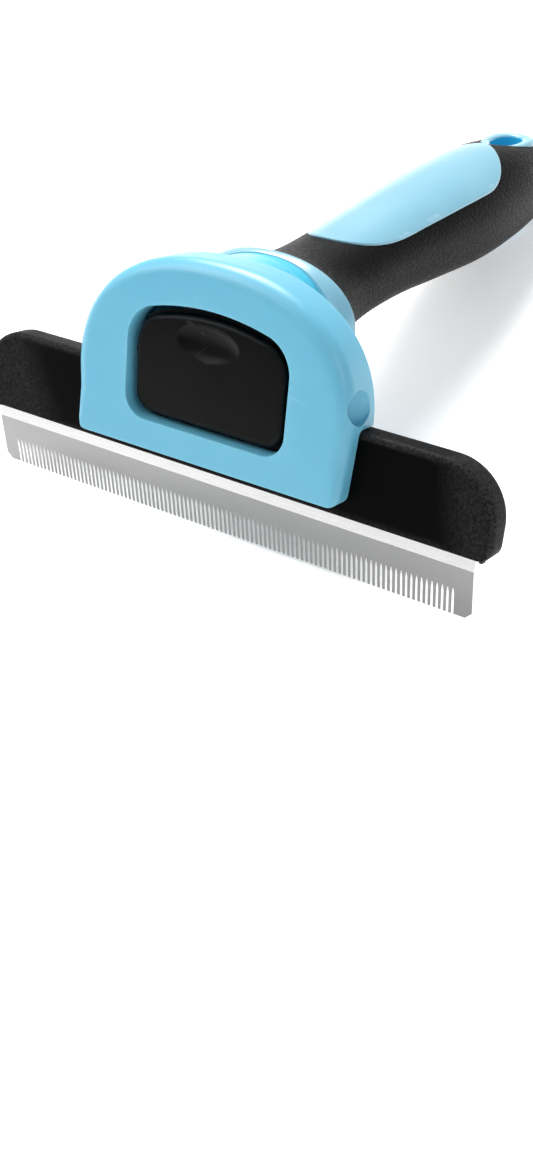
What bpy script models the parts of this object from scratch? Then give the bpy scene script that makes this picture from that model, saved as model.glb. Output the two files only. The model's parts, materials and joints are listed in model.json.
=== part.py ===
"""Deshedding tool for pets: a steel comb in a click-in carrier, on a D-shaped head with a release rocker.

Units are metres. The tool is modelled in the head's own frame: X across the comb, Y from the face of
the head towards the handle's end, Z up the face, with zero at the lower front edge of the comb carrier.
The head_frame empty then leans that frame back so that the tool rests on its comb and its handle's end.
"""
import math

import bmesh
import bpy
from mathutils import Matrix, Vector

MM = 0.001
GAP = 0.3  # clearance between neighbouring pieces, mm

# ---- Driving dimensions, mm, in the head's frame ----------------------------------------------------
BLADE_LENGTH = 100.8
SLOTS = 100
SLOT_PITCH = 0.9475
SLOT_WIDTH = 0.42
STRIP_FRONT = 1.3  # the blade's flat strip, behind the carrier's face
STRIP_BACK = 3.1
STRIP_FOOT = -2.8  # where the strip ends and the bevel begins
SLOT_TOP = -7.0
TIP_Z = -11.9
TIP_FRONT = 3.4
TIP_BACK = 3.95
BLADE_TOP = 6.9
LAND_CHAMFER = 1.2

CARRIER_HALF = 53.2
CARRIER_FOOT = -0.3
CARRIER_HEIGHT = 14.6
CARRIER_DEPTH = 5.2
POCKET_TOP = 7.3
SCREW_XS = (-41.0, -14.5, 14.5, 41.0)
SCREW_Z = 3.6
CATCH_Z = (8.1, 10.5)

FACE_Y = -3.8
RIM_BACK = 4.5
HEAD_HALF = 28.1
HEAD_FOOT_HALF = 27.4
HEAD_FOOT = 2.0
HEAD_WAIST = 14.0
HEAD_TOP = 36.3
HEAD_POWER = 2.27
FACE_ROUND = 2.8
WALL = 2.3
TUNNEL_TOP = 14.95
BACK_Y = 9.0
BACK_INSET = 1.4
BACK_ROUND = 3.8
SCREW_SEAT = 6.6
HEAD_SCREW = (19.6, 24.8)  # distance from the middle, height
NECK_SCREW_X = 10.3

WINDOW_HALF = 16.4
WINDOW_FOOT = 7.3
WINDOW_TOP = 28.6
WINDOW_EDGE = 0.15  # its broken front edge
BUTTON_GAP = 1.6
BUTTON_TILT = 3.0  # degrees, foot set in
BUTTON_FACE = -3.4
BUTTON_THICK = 1.6
PIVOT_Y = 0.2
PIVOT_Z = 18.5
PIN_R = 1.1
SIDE_HOLE_R = 2.9

NECK_TOP = 36.2  # the neck stays almost level with the head's top
COLLAR_FRONT = 11.9
HANDLE_START = 15.7  # where the grip meets the collar
HANDLE_END = 118.0
END_ROUND = 9.0
# stations along the handle: distance back, height of the axis, half width, half height
HANDLE_STATIONS = (
    (3.0, 23.4, 15.6, 10.2),
    (10.0, 24.7, 16.0, 10.1),
    (15.0, 25.7, 16.0, 9.9),
    (20.0, 26.6, 12.9, 8.4),
    (26.0, 27.7, 11.1, 7.7),
    (34.0, 29.4, 10.6, 7.5),
    (46.0, 31.7, 10.9, 8.0),
    (60.0, 33.9, 12.0, 9.0),
    (75.0, 36.2, 12.9, 9.9),
    (90.0, 38.9, 12.3, 9.9),
    (102.0, 40.8, 10.9, 8.7),
    (112.0, 42.0, 9.6, 7.3),
    (122.0, 43.0, 8.4, 6.2),
)
CORE_BORE = (7.4, 5.4)
PANEL_START = 31.8
PANEL_END = 91.7
PANEL_ANGLE = 53.0  # degrees each side of the top
PANEL_DEPTH = 1.6
EYELET_Y = 101.2
EYELET_HOLE = (3.1, 6.1)  # half width, half length
EYELET_RIM = (5.5, 8.7)
EYELET_SINK = 0.35  # flat ends below the grip's crest

SPRING_R = 1.9
SPRING_WIRE = 0.3
SPRING_TURNS = 6
SPRING_Z = 23.6

# ---- Colours, linear RGB ----------------------------------------------------------------------------
SKY = (0.20, 0.56, 0.79)
PALE = (0.55, 0.80, 0.90)
JET = (0.012, 0.012, 0.013)
STEEL = (0.62, 0.62, 0.61)


def clear_scene():
    """Empties the file, so that the script gives the same result each run."""
    for obj in list(bpy.data.objects):
        bpy.data.objects.remove(obj, do_unlink=True)


def new_collection(name):
    """A collection linked to the scene."""
    group = bpy.data.collections.new(name)
    bpy.context.scene.collection.children.link(group)
    return group


def new_material(name, colour, roughness, metallic=0.0):
    """A Principled material in the part's colour."""
    mat = bpy.data.materials.new(name)
    mat.use_nodes = True
    shader = mat.node_tree.nodes["Principled BSDF"]
    shader.inputs["Base Color"].default_value = (*colour, 1.0)
    shader.inputs["Roughness"].default_value = roughness
    shader.inputs["Metallic"].default_value = metallic
    return mat


def add_object(name, mesh, material=None, cutter=False):
    """Links a mesh as a sub-part, or as a cutter that is never rendered."""
    obj = bpy.data.objects.new(name, mesh)
    if cutter:
        cutters.objects.link(obj)
        obj.hide_render = True
        obj.display_type = "WIRE"
    else:
        parts.objects.link(obj)
        mesh.materials.append(material)
    obj.parent = head_frame
    return obj


def from_bmesh(name, bm, material=None, cutter=False, smooth=True):
    """Turns a bmesh in millimetres into an object in metres."""
    bmesh.ops.scale(bm, vec=(MM, MM, MM), verts=bm.verts)
    bmesh.ops.recalc_face_normals(bm, faces=bm.faces)
    mesh = bpy.data.meshes.new(name)
    bm.to_mesh(mesh)
    bm.free()
    if smooth:
        mesh.shade_smooth()
        mesh.set_sharp_from_angle(angle=math.radians(32))
    return add_object(name, mesh, material, cutter)


def box(name, low, high, material=None, cutter=False):
    """An upright block between two corners."""
    bm = bmesh.new()
    bmesh.ops.create_cube(bm, size=1.0)
    size = [b - a for a, b in zip(low, high)]
    middle = [(a + b) / 2 for a, b in zip(low, high)]
    bmesh.ops.scale(bm, vec=size, verts=bm.verts)
    bmesh.ops.translate(bm, vec=middle, verts=bm.verts)
    return from_bmesh(name, bm, material, cutter, smooth=False)


def cylinder(name, start, end, radius, material=None, cutter=False, segments=24):
    """A round bar from one point to another."""
    start = Vector(start)
    end = Vector(end)
    bm = bmesh.new()
    bmesh.ops.create_cone(
        bm, cap_ends=True, segments=segments, radius1=radius, radius2=radius, depth=(end - start).length
    )
    turn = (end - start).to_track_quat("Z", "Y").to_matrix().to_4x4()
    bmesh.ops.transform(bm, matrix=Matrix.Translation((start + end) / 2) @ turn, verts=bm.verts)
    return from_bmesh(name, bm, material, cutter)


def slab(
    name, outline, front, back, material=None, cutter=False, round_front=0.0, round_back=0.0, steps=4
):
    """A flat outline in X and Z, given thickness from front to back along Y, with rounded rims."""
    curve = bpy.data.curves.new(name, "CURVE")
    curve.dimensions = "2D"
    curve.fill_mode = "BOTH"
    curve.extrude = (back - front) / 2
    spline = curve.splines.new("POLY")
    spline.points.add(len(outline) - 1)
    for point, (x, z) in zip(spline.points, outline):
        point.co = (x, z, 0.0, 1.0)
    spline.use_cyclic_u = True
    guide = bpy.data.objects.new(name + "_outline", curve)
    cutters.objects.link(guide)
    evaluated = guide.evaluated_get(bpy.context.evaluated_depsgraph_get())
    flat = bpy.data.meshes.new_from_object(evaluated)
    bm = bmesh.new()
    bm.from_mesh(flat)
    bpy.data.objects.remove(guide)
    bpy.data.meshes.remove(flat)
    bmesh.ops.remove_doubles(bm, verts=bm.verts, dist=0.0001)
    bmesh.ops.dissolve_limit(bm, angle_limit=math.radians(0.5), verts=bm.verts, edges=bm.edges)
    upright = Matrix.Translation((0, (front + back) / 2, 0)) @ Matrix.Rotation(math.pi / 2, 4, "X")
    bmesh.ops.transform(bm, matrix=upright, verts=bm.verts)
    for y, radius in ((front, round_front), (back, round_back)):
        rim = [e for e in bm.edges if all(abs(v.co.y - y) < 1e-4 for v in e.verts)]
        if radius:
            bmesh.ops.bevel(bm, geom=rim, offset=radius, segments=steps, profile=0.5, affect="EDGES")
    return from_bmesh(name, bm, material, cutter)


def loft(name, rings, material=None, cutter=False):
    """A closed skin through rings that have the same number of points."""
    bm = bmesh.new()
    loops = [[bm.verts.new(point) for point in ring] for ring in rings]
    count = len(rings[0])
    for near, far in zip(loops, loops[1:]):
        for i in range(count):
            j = (i + 1) % count
            bm.faces.new((near[i], near[j], far[j], far[i]))
    bm.faces.new(reversed(loops[0]))
    bm.faces.new(loops[-1])
    return from_bmesh(name, bm, material, cutter)


def combine(target, other, operation):
    """A Boolean between two objects; the second is a cutter."""
    modifier = target.modifiers.new(other.name, "BOOLEAN")
    modifier.operation = operation
    modifier.solver = "EXACT"
    modifier.object = other


def cut(target, *others):
    """Takes each cutter out of the target."""
    for other in others:
        combine(target, other, "DIFFERENCE")


def join(target, *others):
    """Adds each cutter's shape to the target."""
    for other in others:
        combine(target, other, "UNION")


def arc(centre, radius, start, end, steps):
    """Points along a circle, angles in degrees."""
    span = end - start
    angles = [math.radians(start + span * i / steps) for i in range(steps + 1)]
    return [(centre[0] + radius * math.cos(a), centre[1] + radius * math.sin(a)) for a in angles]


def mirrored(right_half):
    """A whole outline from its right half, which starts and ends at or beside X = 0."""
    left = [(-x, z) for x, z in reversed(right_half) if abs(x) > 1e-6]
    return right_half + left


def head_outline(inset=0.0, foot=HEAD_FOOT, corner=2.0, steps=18):
    """The D of the head: tapering cheeks under a broad superellipse, with rounded lower corners."""
    half = HEAD_HALF - inset
    rise = HEAD_TOP - HEAD_WAIST - inset
    foot_half = HEAD_FOOT_HALF - inset
    right = [(0.0, foot)]
    right += arc((foot_half - corner, foot + corner), corner, -90, 0, 4)
    for i in range(steps + 1):
        angle = math.radians(90 * i / steps)
        x = half * math.cos(angle) ** (2 / HEAD_POWER)
        z = HEAD_WAIST + rise * math.sin(angle) ** (2 / HEAD_POWER)
        right.append((max(x, 0.0), z))
    return mirrored(right)


def window_outline(inset=0.0, steps=8):
    """The rocker's opening: straight foot and sides, an arched top and generous corners."""
    half = WINDOW_HALF - inset
    foot = WINDOW_FOOT + inset
    top = WINDOW_TOP - inset
    low_r = 4.2 - inset * 0.6
    high_r = 6.4 - inset * 0.6
    shoulder = WINDOW_TOP - 1.3 - inset
    right = [(0.0, foot)]
    right += arc((half - low_r, foot + low_r), low_r, -90, 0, 6)
    right += arc((half - high_r, shoulder - high_r), high_r, 0, 72, 7)
    x_start, z_start = right[-1]
    for i in range(1, steps + 1):
        t = i / steps
        x = (1 - t) ** 2 * x_start + t * (1 - t) * x_start
        z = (1 - t) ** 2 * z_start + (2 * t * (1 - t) + t * t) * top
        right.append((x, z))
    return mirrored(right)


def carrier_outline(foot):
    """The carrier's long face: round shoulders above, tighter corners below."""
    right = [(0.0, foot)]
    right += arc((CARRIER_HALF - 2.0, foot + 2.0), 2.0, -90, 0, 5)
    right += arc((CARRIER_HALF - 9.6, CARRIER_HEIGHT - 9.6), 9.6, 0, 90, 9)
    right.append((0.0, CARRIER_HEIGHT))
    return mirrored(right)


def station(distance):
    """Height, half width and half height of the handle at a distance back, smoothed between stations."""
    rows = HANDLE_STATIONS
    index = max(i for i in range(len(rows) - 1) if distance >= rows[i][0] or i == 0)
    low = rows[index]
    high = rows[index + 1]
    before = rows[max(index - 1, 0)]
    after = rows[min(index + 2, len(rows) - 1)]
    span = high[0] - low[0]
    t = (distance - low[0]) / span
    values = []
    for k in (1, 2, 3):
        slope_low = (high[k] - before[k]) / (high[0] - before[0]) * span
        slope_high = (after[k] - low[k]) / (after[0] - low[0]) * span
        values.append(
            (2 * t**3 - 3 * t**2 + 1) * low[k]
            + (t**3 - 2 * t**2 + t) * slope_low
            + (3 * t**2 - 2 * t**3) * high[k]
            + (t**3 - t**2) * slope_high
        )
    return values


def handle_axes(distance):
    """Centre of the handle's section and the section's own upward direction."""
    height = station(distance)[0]
    rise = station(distance + 0.5)[0] - station(distance - 0.5)[0]
    up = Vector((0.0, -rise, 1.0)).normalized()
    return Vector((0.0, distance, height)), up


def section_point(distance, angle, half_width, half_height):
    """A point on an oval section; the angle is measured from the section's top, in radians."""
    centre, up = handle_axes(distance)
    power = 2 / 2.15
    sine = math.sin(angle)
    cosine = math.cos(angle)
    across = math.copysign(abs(sine) ** power, sine) * half_width
    above = math.copysign(abs(cosine) ** power, cosine) * half_height
    return centre + Vector((across, 0.0, 0.0)) + up * above


def section(distance, half_width, half_height, segments=32):
    """One oval ring of the handle."""
    angles = [2 * math.pi * i / segments for i in range(segments)]
    return [section_point(distance, a, half_width, half_height) for a in angles]


def skin(distance, offset=0.0):
    """Half width and half height of the grip's surface, closing in an ellipse at the handle's end."""
    _, width, height = station(distance)
    over = max(0.0, distance - (HANDLE_END - END_ROUND)) / END_ROUND
    shrink = math.sqrt(max(1 - over * over, 0.0))
    return width * shrink + offset, height * shrink + offset


def panel_angle(distance, start, end):
    """How far the inlay reaches round the handle from the top, in radians: an egg, blunt towards the head."""
    nose = min((distance - start) / 16.0, 1.0)
    tail = min((end - distance) / 18.0, 1.0)
    ease = (1 - (1 - nose) ** 2.3) ** 0.5 * math.sin(tail * math.pi / 2) ** 0.88
    return math.radians(PANEL_ANGLE) * max(ease, 0.03)


def panel_patch(name, margin, outer, depth, material=None, cutter=False):
    """A strip of the grip's own surface, thickened inwards, with its rim square to the surface."""
    start = PANEL_START - margin
    end = PANEL_END + margin
    rows = 26
    columns = 14
    bm = bmesh.new()
    grid = []
    for i in range(rows + 1):
        distance = start + (end - start) * (0.5 - 0.5 * math.cos(math.pi * i / rows))
        width, height = skin(distance, outer)
        reach = panel_angle(distance, start, end) + margin / width
        angles = [reach * (2 * j / columns - 1) for j in range(columns + 1)]
        grid.append([bm.verts.new(section_point(distance, a, width, height)) for a in angles])
    for near, far in zip(grid, grid[1:]):
        for j in range(columns):
            bm.faces.new((near[j], far[j], far[j + 1], near[j + 1]))
    bmesh.ops.recalc_face_normals(bm, faces=bm.faces)
    if sum(face.normal.z for face in bm.faces) < 0:
        bmesh.ops.reverse_faces(bm, faces=bm.faces)
    bmesh.ops.solidify(bm, geom=bm.faces, thickness=depth)
    return from_bmesh(name, bm, material, cutter)


def screw(name, seat, towards, head_r, head_h, shank_r, length, material):
    """A cross-recess screw: its head rises from the seat against the direction it is driven."""
    seat = Vector(seat)
    drive = Vector(towards).normalized()
    body = cylinder(name, seat - drive * head_h, seat, head_r, material, segments=20)
    start = seat - drive * 0.4
    shank = cylinder(name + "_shank", start, seat + drive * length, shank_r, cutter=True, segments=12)
    join(body, shank)
    across = drive.orthogonal().normalized()
    other = drive.cross(across)
    top = seat - drive * head_h
    for index, (long_way, short_way) in enumerate(((across, other), (other, across))):
        bm = bmesh.new()
        bmesh.ops.create_cube(bm, size=1.0)
        bmesh.ops.scale(bm, vec=(head_r * 1.15, head_r * 0.28, 1.0), verts=bm.verts)
        turn = Matrix((long_way, short_way, drive)).transposed().to_4x4()
        bmesh.ops.transform(bm, matrix=Matrix.Translation(top + drive * 0.2) @ turn, verts=bm.verts)
        cut(body, from_bmesh(f"{name}_slot_{index}", bm, cutter=True, smooth=False))
    return body


# ---- Sub-parts --------------------------------------------------------------------------------------
def make_comb_blade():
    """Stainless comb: a flat strip, a long bevel, and a hundred sawn slots in its edge."""
    half = BLADE_LENGTH / 2
    outline = [(-half, BLADE_TOP), (-half, TIP_Z + LAND_CHAMFER), (-half + LAND_CHAMFER, TIP_Z)]
    for i in range(SLOTS):
        x = (i - (SLOTS - 1) / 2) * SLOT_PITCH
        outline += [
            (x - SLOT_WIDTH / 2, TIP_Z),
            (x - SLOT_WIDTH / 2, SLOT_TOP),
            (x + SLOT_WIDTH / 2, SLOT_TOP),
            (x + SLOT_WIDTH / 2, TIP_Z),
        ]
    outline += [(half - LAND_CHAMFER, TIP_Z), (half, TIP_Z + LAND_CHAMFER), (half, BLADE_TOP)]
    blade = slab("comb_blade", outline, 0.5, 4.5, steel)
    bm = bmesh.new()
    side = [
        (STRIP_FRONT, BLADE_TOP + 1),
        (STRIP_FRONT, STRIP_FOOT),
        (TIP_FRONT, TIP_Z),
        (TIP_FRONT + 0.1, TIP_Z - 1),
        (TIP_BACK + 0.05, TIP_Z - 1),
        (TIP_BACK, TIP_Z),
        (STRIP_BACK, STRIP_FOOT),
        (STRIP_BACK, BLADE_TOP + 1),
    ]
    face = bm.faces.new([bm.verts.new((-half - 2, y, z)) for y, z in side])
    swept = bmesh.ops.extrude_face_region(bm, geom=[face])
    verts = [v for v in swept["geom"] if isinstance(v, bmesh.types.BMVert)]
    bmesh.ops.translate(bm, vec=(2 * half + 4, 0, 0), verts=verts)
    combine(blade, from_bmesh("blade_wedge", bm, cutter=True, smooth=False), "INTERSECT")
    for i, x in enumerate(SCREW_XS):
        cut(blade, screw_hole(f"blade_hole_{i}", (x, 0, SCREW_Z), 6.0, radius=2.3))


def make_carrier():
    """Black carrier: a clean face, a pocket behind for the blade, and a tongue that enters the head."""
    tall = carrier_outline(CARRIER_FOOT - 5.0)
    body = slab("carrier_body", tall, 0.0, CARRIER_DEPTH, black, round_front=0.9, round_back=1.5, steps=3)
    whole = carrier_outline(CARRIER_FOOT)
    foot = slab("carrier_foot", whole, -1.0, CARRIER_DEPTH + 1, cutter=True)
    combine(body, foot, "INTERSECT")
    join(body, box("carrier_tongue", (-7.0, 2.4, CARRIER_HEIGHT - 2), (7.0, 4.6, 19.5), cutter=True))
    half = BLADE_LENGTH / 2 + GAP
    for side in (-1, 1):
        low, high = sorted((side * (half + 0.1), side * (half + 0.7)))
        join(body, box(f"locating_tab_{side}", (low, 1.6, -1.2), (high, 2.8, 1.0), cutter=True))
    pocket_end = (half, CARRIER_DEPTH + 1, POCKET_TOP)
    cut(body, box("blade_pocket", (-half, 1.0, -2.0), pocket_end, cutter=True))
    cut(body, box("catch_pocket", (-4.2, -1.0, CATCH_Z[0]), (4.2, 1.7, CATCH_Z[1]), cutter=True))
    for i, x in enumerate(SCREW_XS):
        join(body, screw_hole(f"post_{i}", (x, 0.6, SCREW_Z), 1.6, radius=2.0))
        cut(body, screw_hole(f"pilot_{i}", (x, 1.4, SCREW_Z), 3.0))
    bar_end = (half - 0.4, CARRIER_DEPTH - 0.2, POCKET_TOP - GAP)
    bar = box("blade_clamp_bar", (-half + 0.4, 3.4, 0.2), bar_end, black)
    for i, x in enumerate(SCREW_XS):
        cut(bar, screw_hole(f"bar_hole_{i}", (x, 2, SCREW_Z), 5.0))
        cut(bar, screw_hole(f"bar_sink_{i}", (x, 4.0, SCREW_Z), 3.0, radius=2.3))
        screw(f"clamp_screw_{i + 1}", (x, 4.3, SCREW_Z), (0, -1, 0), 2.0, 0.7, 0.9, 2.5, steel)


def make_front_cover():
    """Sky-blue bezel: the face with the rocker's window, the rim, and the cheeks that hold the pin."""
    tall = head_outline(foot=-8.0)
    cover = slab("front_cover", tall, FACE_Y, RIM_BACK, blue, round_front=FACE_ROUND, steps=5)
    foot = slab("cover_foot", head_outline(), FACE_Y - 1, RIM_BACK + 1, cutter=True)
    combine(cover, foot, "INTERSECT")
    inner = head_outline(inset=WALL, foot=-2.0)
    cut(cover, slab("cover_hollow", inner, -GAP, RIM_BACK + 1, cutter=True))
    for side in (-1, 1):
        low, high = sorted((side * 18.5, side * 26.6))
        cheek_end = (high, RIM_BACK - 0.1, 21.8)
        join(cover, box(f"cheek_{side}", (low, -0.6, TUNNEL_TOP - 1), cheek_end, cutter=True))
        boss = (side * HEAD_SCREW[0], -0.6, HEAD_SCREW[1])
        join(cover, screw_hole(f"boss_{side}", boss, RIM_BACK + 0.5, radius=2.5))
    cut(cover, box("tunnel", (-40.0, -GAP, -4.0), (40.0, RIM_BACK + 2, TUNNEL_TOP), cutter=True))
    cut(cover, loft("window", window_rings(), cutter=True))
    for side in (-1, 1):
        hole_start = (side * 24.3, PIVOT_Y, PIVOT_Z)
        hole_end = (side * 32, PIVOT_Y, PIVOT_Z)
        cut(cover, cylinder(f"side_hole_{side}", hole_start, hole_end, SIDE_HOLE_R, cutter=True))
        bore_start = (side * 14, PIVOT_Y, PIVOT_Z)
        bore_end = (side * 25, PIVOT_Y, PIVOT_Z)
        cut(cover, cylinder(f"pin_bore_{side}", bore_start, bore_end, PIN_R + GAP, cutter=True))
        cut(cover, screw_hole(f"cover_pilot_{side}", (side * HEAD_SCREW[0], -0.4, HEAD_SCREW[1]), 6.0))


def window_rings():
    """The window from the face inwards: a broken edge, then straight walls."""
    profile = ((-1.0, -WINDOW_EDGE), (0.0, -WINDOW_EDGE), (WINDOW_EDGE, 0.0), (1.0 - FACE_Y, 0.0))
    return [[Vector((x, FACE_Y + y, z)) for x, z in window_outline(inset)] for y, inset in profile]


def screw_hole(name, start, length, radius=1.2):
    """A round hole that runs back along Y from its start."""
    x, y, z = start
    return cylinder(name, start, (x, y + length, z), radius, cutter=True, segments=16)


def make_rear_housing():
    """Back half of the head, swelling into the neck that takes the handle."""
    housing = slab(
        "rear_housing", head_outline(inset=BACK_INSET), RIM_BACK + GAP, BACK_Y, blue, round_back=BACK_ROUND
    )
    neck = []
    for i in range(7):
        t = i / 6
        distance = RIM_BACK + t * (COLLAR_FRONT - GAP - RIM_BACK)
        flare = (1 - t) ** 2
        neck.append(section(distance, 12.8 + 3.2 * flare, NECK_TOP - station(distance)[0], 40))
    join(housing, loft("neck", neck, cutter=True))
    cut(housing, box("neck_trim", (-40.0, -4.0, 0.0), (40.0, RIM_BACK + GAP, 60.0), cutter=True))
    hollow = head_outline(inset=BACK_INSET + WALL, foot=-2.0)
    cut(housing, slab("housing_hollow", hollow, RIM_BACK, BACK_Y - WALL, cutter=True))
    tunnel_end = (40.0, CARRIER_DEPTH + GAP, TUNNEL_TOP)
    cut(housing, box("housing_tunnel", (-40.0, 0.0, -4.0), tunnel_end, cutter=True))
    for side in (-1, 1):
        low, high = sorted((side * 7.4, side * 9.2))
        guide_start = (low, 2.4, TUNNEL_TOP + 0.2)
        join(housing, box(f"guide_{side}", guide_start, (high, BACK_Y - 1, 21.0), cutter=True))
        boss = (side * HEAD_SCREW[0], RIM_BACK + GAP, HEAD_SCREW[1])
        join(housing, screw_hole(f"rear_boss_{side}", boss, 2.3, radius=2.9))
    bore = [section(d, *CORE_BORE) for d in (5.0, 8.0, 12.0)]
    cut(housing, loft("neck_bore", bore, cutter=True))
    for side in (-1, 1):
        x, z = HEAD_SCREW
        cut(housing, screw_hole(f"rear_hole_{side}", (side * x, 3, z), 8.0))
        cut(housing, screw_hole(f"rear_sink_{side}", (side * x, SCREW_SEAT, z), 5.0, radius=2.3))
        neck_hole = (side * NECK_SCREW_X, SCREW_SEAT - 1, station(8.0)[0])
        cut(housing, screw_hole(f"neck_hole_{side}", neck_hole, 8.0))
    for i, side in enumerate((-1, 1)):
        seat = (side * HEAD_SCREW[0], SCREW_SEAT + GAP, HEAD_SCREW[1])
        screw(f"head_screw_{i + 1}", seat, (0, -1, 0), 1.9, 1.1, 0.9, 6.0, steel)


def make_button():
    """Black rocker with ears on the pin, and the pin, return spring and latch leaf behind it."""
    outline = window_outline(BUTTON_GAP)
    plate = slab("release_button", outline, 0.0, BUTTON_THICK, black, round_front=0.8, steps=3)
    top = WINDOW_TOP - BUTTON_GAP
    tilt = Matrix.Rotation(math.radians(BUTTON_TILT), 4, "X")
    lean = Matrix.Translation((0, BUTTON_FACE * MM, top * MM)) @ tilt
    plate.data.transform(lean @ Matrix.Translation((0, 0, -top * MM)))
    for side in (-1, 1):
        low, high = sorted((side * 9.6, side * 12.0))
        ear_start = (low, PIVOT_Y, PIVOT_Z)
        web_start = (low, -2.6, PIVOT_Z - 2.0)
        web_end = (high, PIVOT_Y, PIVOT_Z + 2.0)
        join(plate, cylinder(f"ear_{side}", ear_start, (high, PIVOT_Y, PIVOT_Z), 2.4, cutter=True))
        join(plate, box(f"ear_web_{side}", web_start, web_end, cutter=True))
    post_start = (0, -2.9, SPRING_Z)
    join(plate, cylinder("spring_post", post_start, (0, 0.2, SPRING_Z), 1.2, cutter=True, segments=16))
    bm = bmesh.new()
    bmesh.ops.create_uvsphere(bm, u_segments=28, v_segments=16, radius=1.0)
    bmesh.ops.scale(bm, vec=(6.0, 1.1, 2.8), verts=bm.verts)
    bmesh.ops.translate(bm, vec=(0, BUTTON_FACE - 0.3, 22.9), verts=bm.verts)
    cut(plate, from_bmesh("thumb_dimple", bm, cutter=True))
    bore_start = (-14, PIVOT_Y, PIVOT_Z)
    bore_end = (14, PIVOT_Y, PIVOT_Z)
    cut(plate, cylinder("ear_bore", bore_start, bore_end, PIN_R + GAP, cutter=True, segments=20))
    pin_start = (-24.0, PIVOT_Y, PIVOT_Z)
    pin_end = (24.0, PIVOT_Y, PIVOT_Z)
    cylinder("button_pivot_pin", pin_start, pin_end, PIN_R, steel, segments=16)
    set_origin(plate, (0, PIVOT_Y, PIVOT_Z))

    coil = bpy.data.curves.new("button_return_spring", "CURVE")
    coil.dimensions = "3D"
    coil.bevel_depth = SPRING_WIRE * MM
    coil.bevel_resolution = 1
    coil.use_fill_caps = True
    spline = coil.splines.new("POLY")
    start = -1.2
    length = 7.2 - start
    count = SPRING_TURNS * 12
    spline.points.add(count)
    for i, point in enumerate(spline.points):
        angle = 2 * math.pi * i / 12
        y = start + length * i / count
        x = SPRING_R * math.cos(angle)
        z = SPRING_Z + SPRING_R * math.sin(angle)
        point.co = (x * MM, y * MM, z * MM, 1.0)
    spring = bpy.data.objects.new("button_return_spring", coil)
    parts.objects.link(spring)
    coil.materials.append(steel)
    spring.parent = head_frame

    leaf = box("latch_leaf", (-3.0, -0.65, 9.3), (3.0, -0.3, 17.0), steel)
    join(leaf, box("latch_hook", (-3.0, -0.65, 9.3), (3.0, 1.2, 9.7), cutter=True))


def set_origin(obj, point):
    """Puts an object's origin on its joint's axis without moving its shape."""
    offset = Vector(point) * MM
    obj.data.transform(Matrix.Translation(-offset))
    obj.location = offset


def make_handle():
    """Blue core with its collar, the black grip round it, the inlay in the grip and the hanging eyelet."""
    rings = []
    inner = (CORE_BORE[0] - GAP, CORE_BORE[1] - GAP)
    for distance, size in (
        (7.6, inner),
        (COLLAR_FRONT, inner),
        (COLLAR_FRONT + 0.01, (14.2, 10.3)),
        (COLLAR_FRONT + 0.7, (15.0, 10.5)),
        (HANDLE_START - 1.6, (16.1, 10.6)),
        (HANDLE_START - 0.4, (16.6, 10.6)),
        (HANDLE_START, (16.4, 10.4)),
        (HANDLE_START + 0.01, inner),
    ):
        rings.append(section(distance, *size, 40))
    for i in range(1, 9):
        rings.append(section(HANDLE_START + i * 9.0, *inner, 40))
    core = loft("handle_core", rings, pale)
    for i, side in enumerate((-1, 1)):
        seat = Vector((side * NECK_SCREW_X, SCREW_SEAT, station(8.0)[0]))
        pilot = cylinder(f"core_pilot_{side}", seat, seat + Vector((0, 8, 0)), 1.2, cutter=True, segments=12)
        cut(core, pilot)
        screw(f"neck_screw_{i + 1}", seat, (0, 1, 0), 1.8, 0.9, 0.9, 6.6, steel)

    rings = []
    steps = 34
    for i in range(steps + 1):
        t = i / steps
        distance = HANDLE_START + GAP + t * (HANDLE_END - END_ROUND - HANDLE_START - GAP)
        rings.append(section(distance, *skin(distance)))
    for i in range(1, 9):
        distance = HANDLE_END - END_ROUND + END_ROUND * math.sin(math.radians(10.4 * i))
        rings.append(section(distance, *skin(distance)))
    grip = loft("grip_sleeve", rings, rubber)
    bore = [section(HANDLE_START - 1 + i * 9.2, *CORE_BORE, 40) for i in range(9)]
    cut(grip, loft("grip_bore", bore, cutter=True))
    cut(grip, panel_patch("panel_pocket", 2 * GAP, 0.6, PANEL_DEPTH + 0.9, cutter=True))
    panel_patch("inlay_panel", 0.0, 0.0, PANEL_DEPTH, pale)

    half_height = skin(EYELET_Y)[1] - EYELET_SINK
    cut(grip, eyelet_slab("eyelet_seat", EYELET_RIM, GAP, 16.0, cutter=True))
    eyelet = eyelet_slab("hang_eyelet", EYELET_RIM, 0.0, half_height, pale, rounding=0.7)
    cut(eyelet, eyelet_slab("eyelet_bore", EYELET_HOLE, 0.0, 16.0, cutter=True))


def eyelet_slab(name, size, margin, half_height, material=None, cutter=False, rounding=0.0):
    """An oval standing square to the handle's axis at the eyelet, half_height to each side of it."""
    power = 2 / 2.2
    outline = []
    for i in range(36):
        angle = 2 * math.pi * i / 36
        across = math.copysign(abs(math.cos(angle)) ** power, math.cos(angle)) * (size[0] + margin)
        along = math.copysign(abs(math.sin(angle)) ** power, math.sin(angle)) * (size[1] + margin)
        outline.append((across, along))
    oval = slab(name, outline, -half_height, half_height, material, cutter, rounding, rounding, 3)
    centre, up = handle_axes(EYELET_Y)
    turn = Vector((0, 1, 0)).rotation_difference(up).to_matrix().to_4x4()
    oval.data.transform(Matrix.Translation(centre * MM) @ turn)
    return oval


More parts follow.
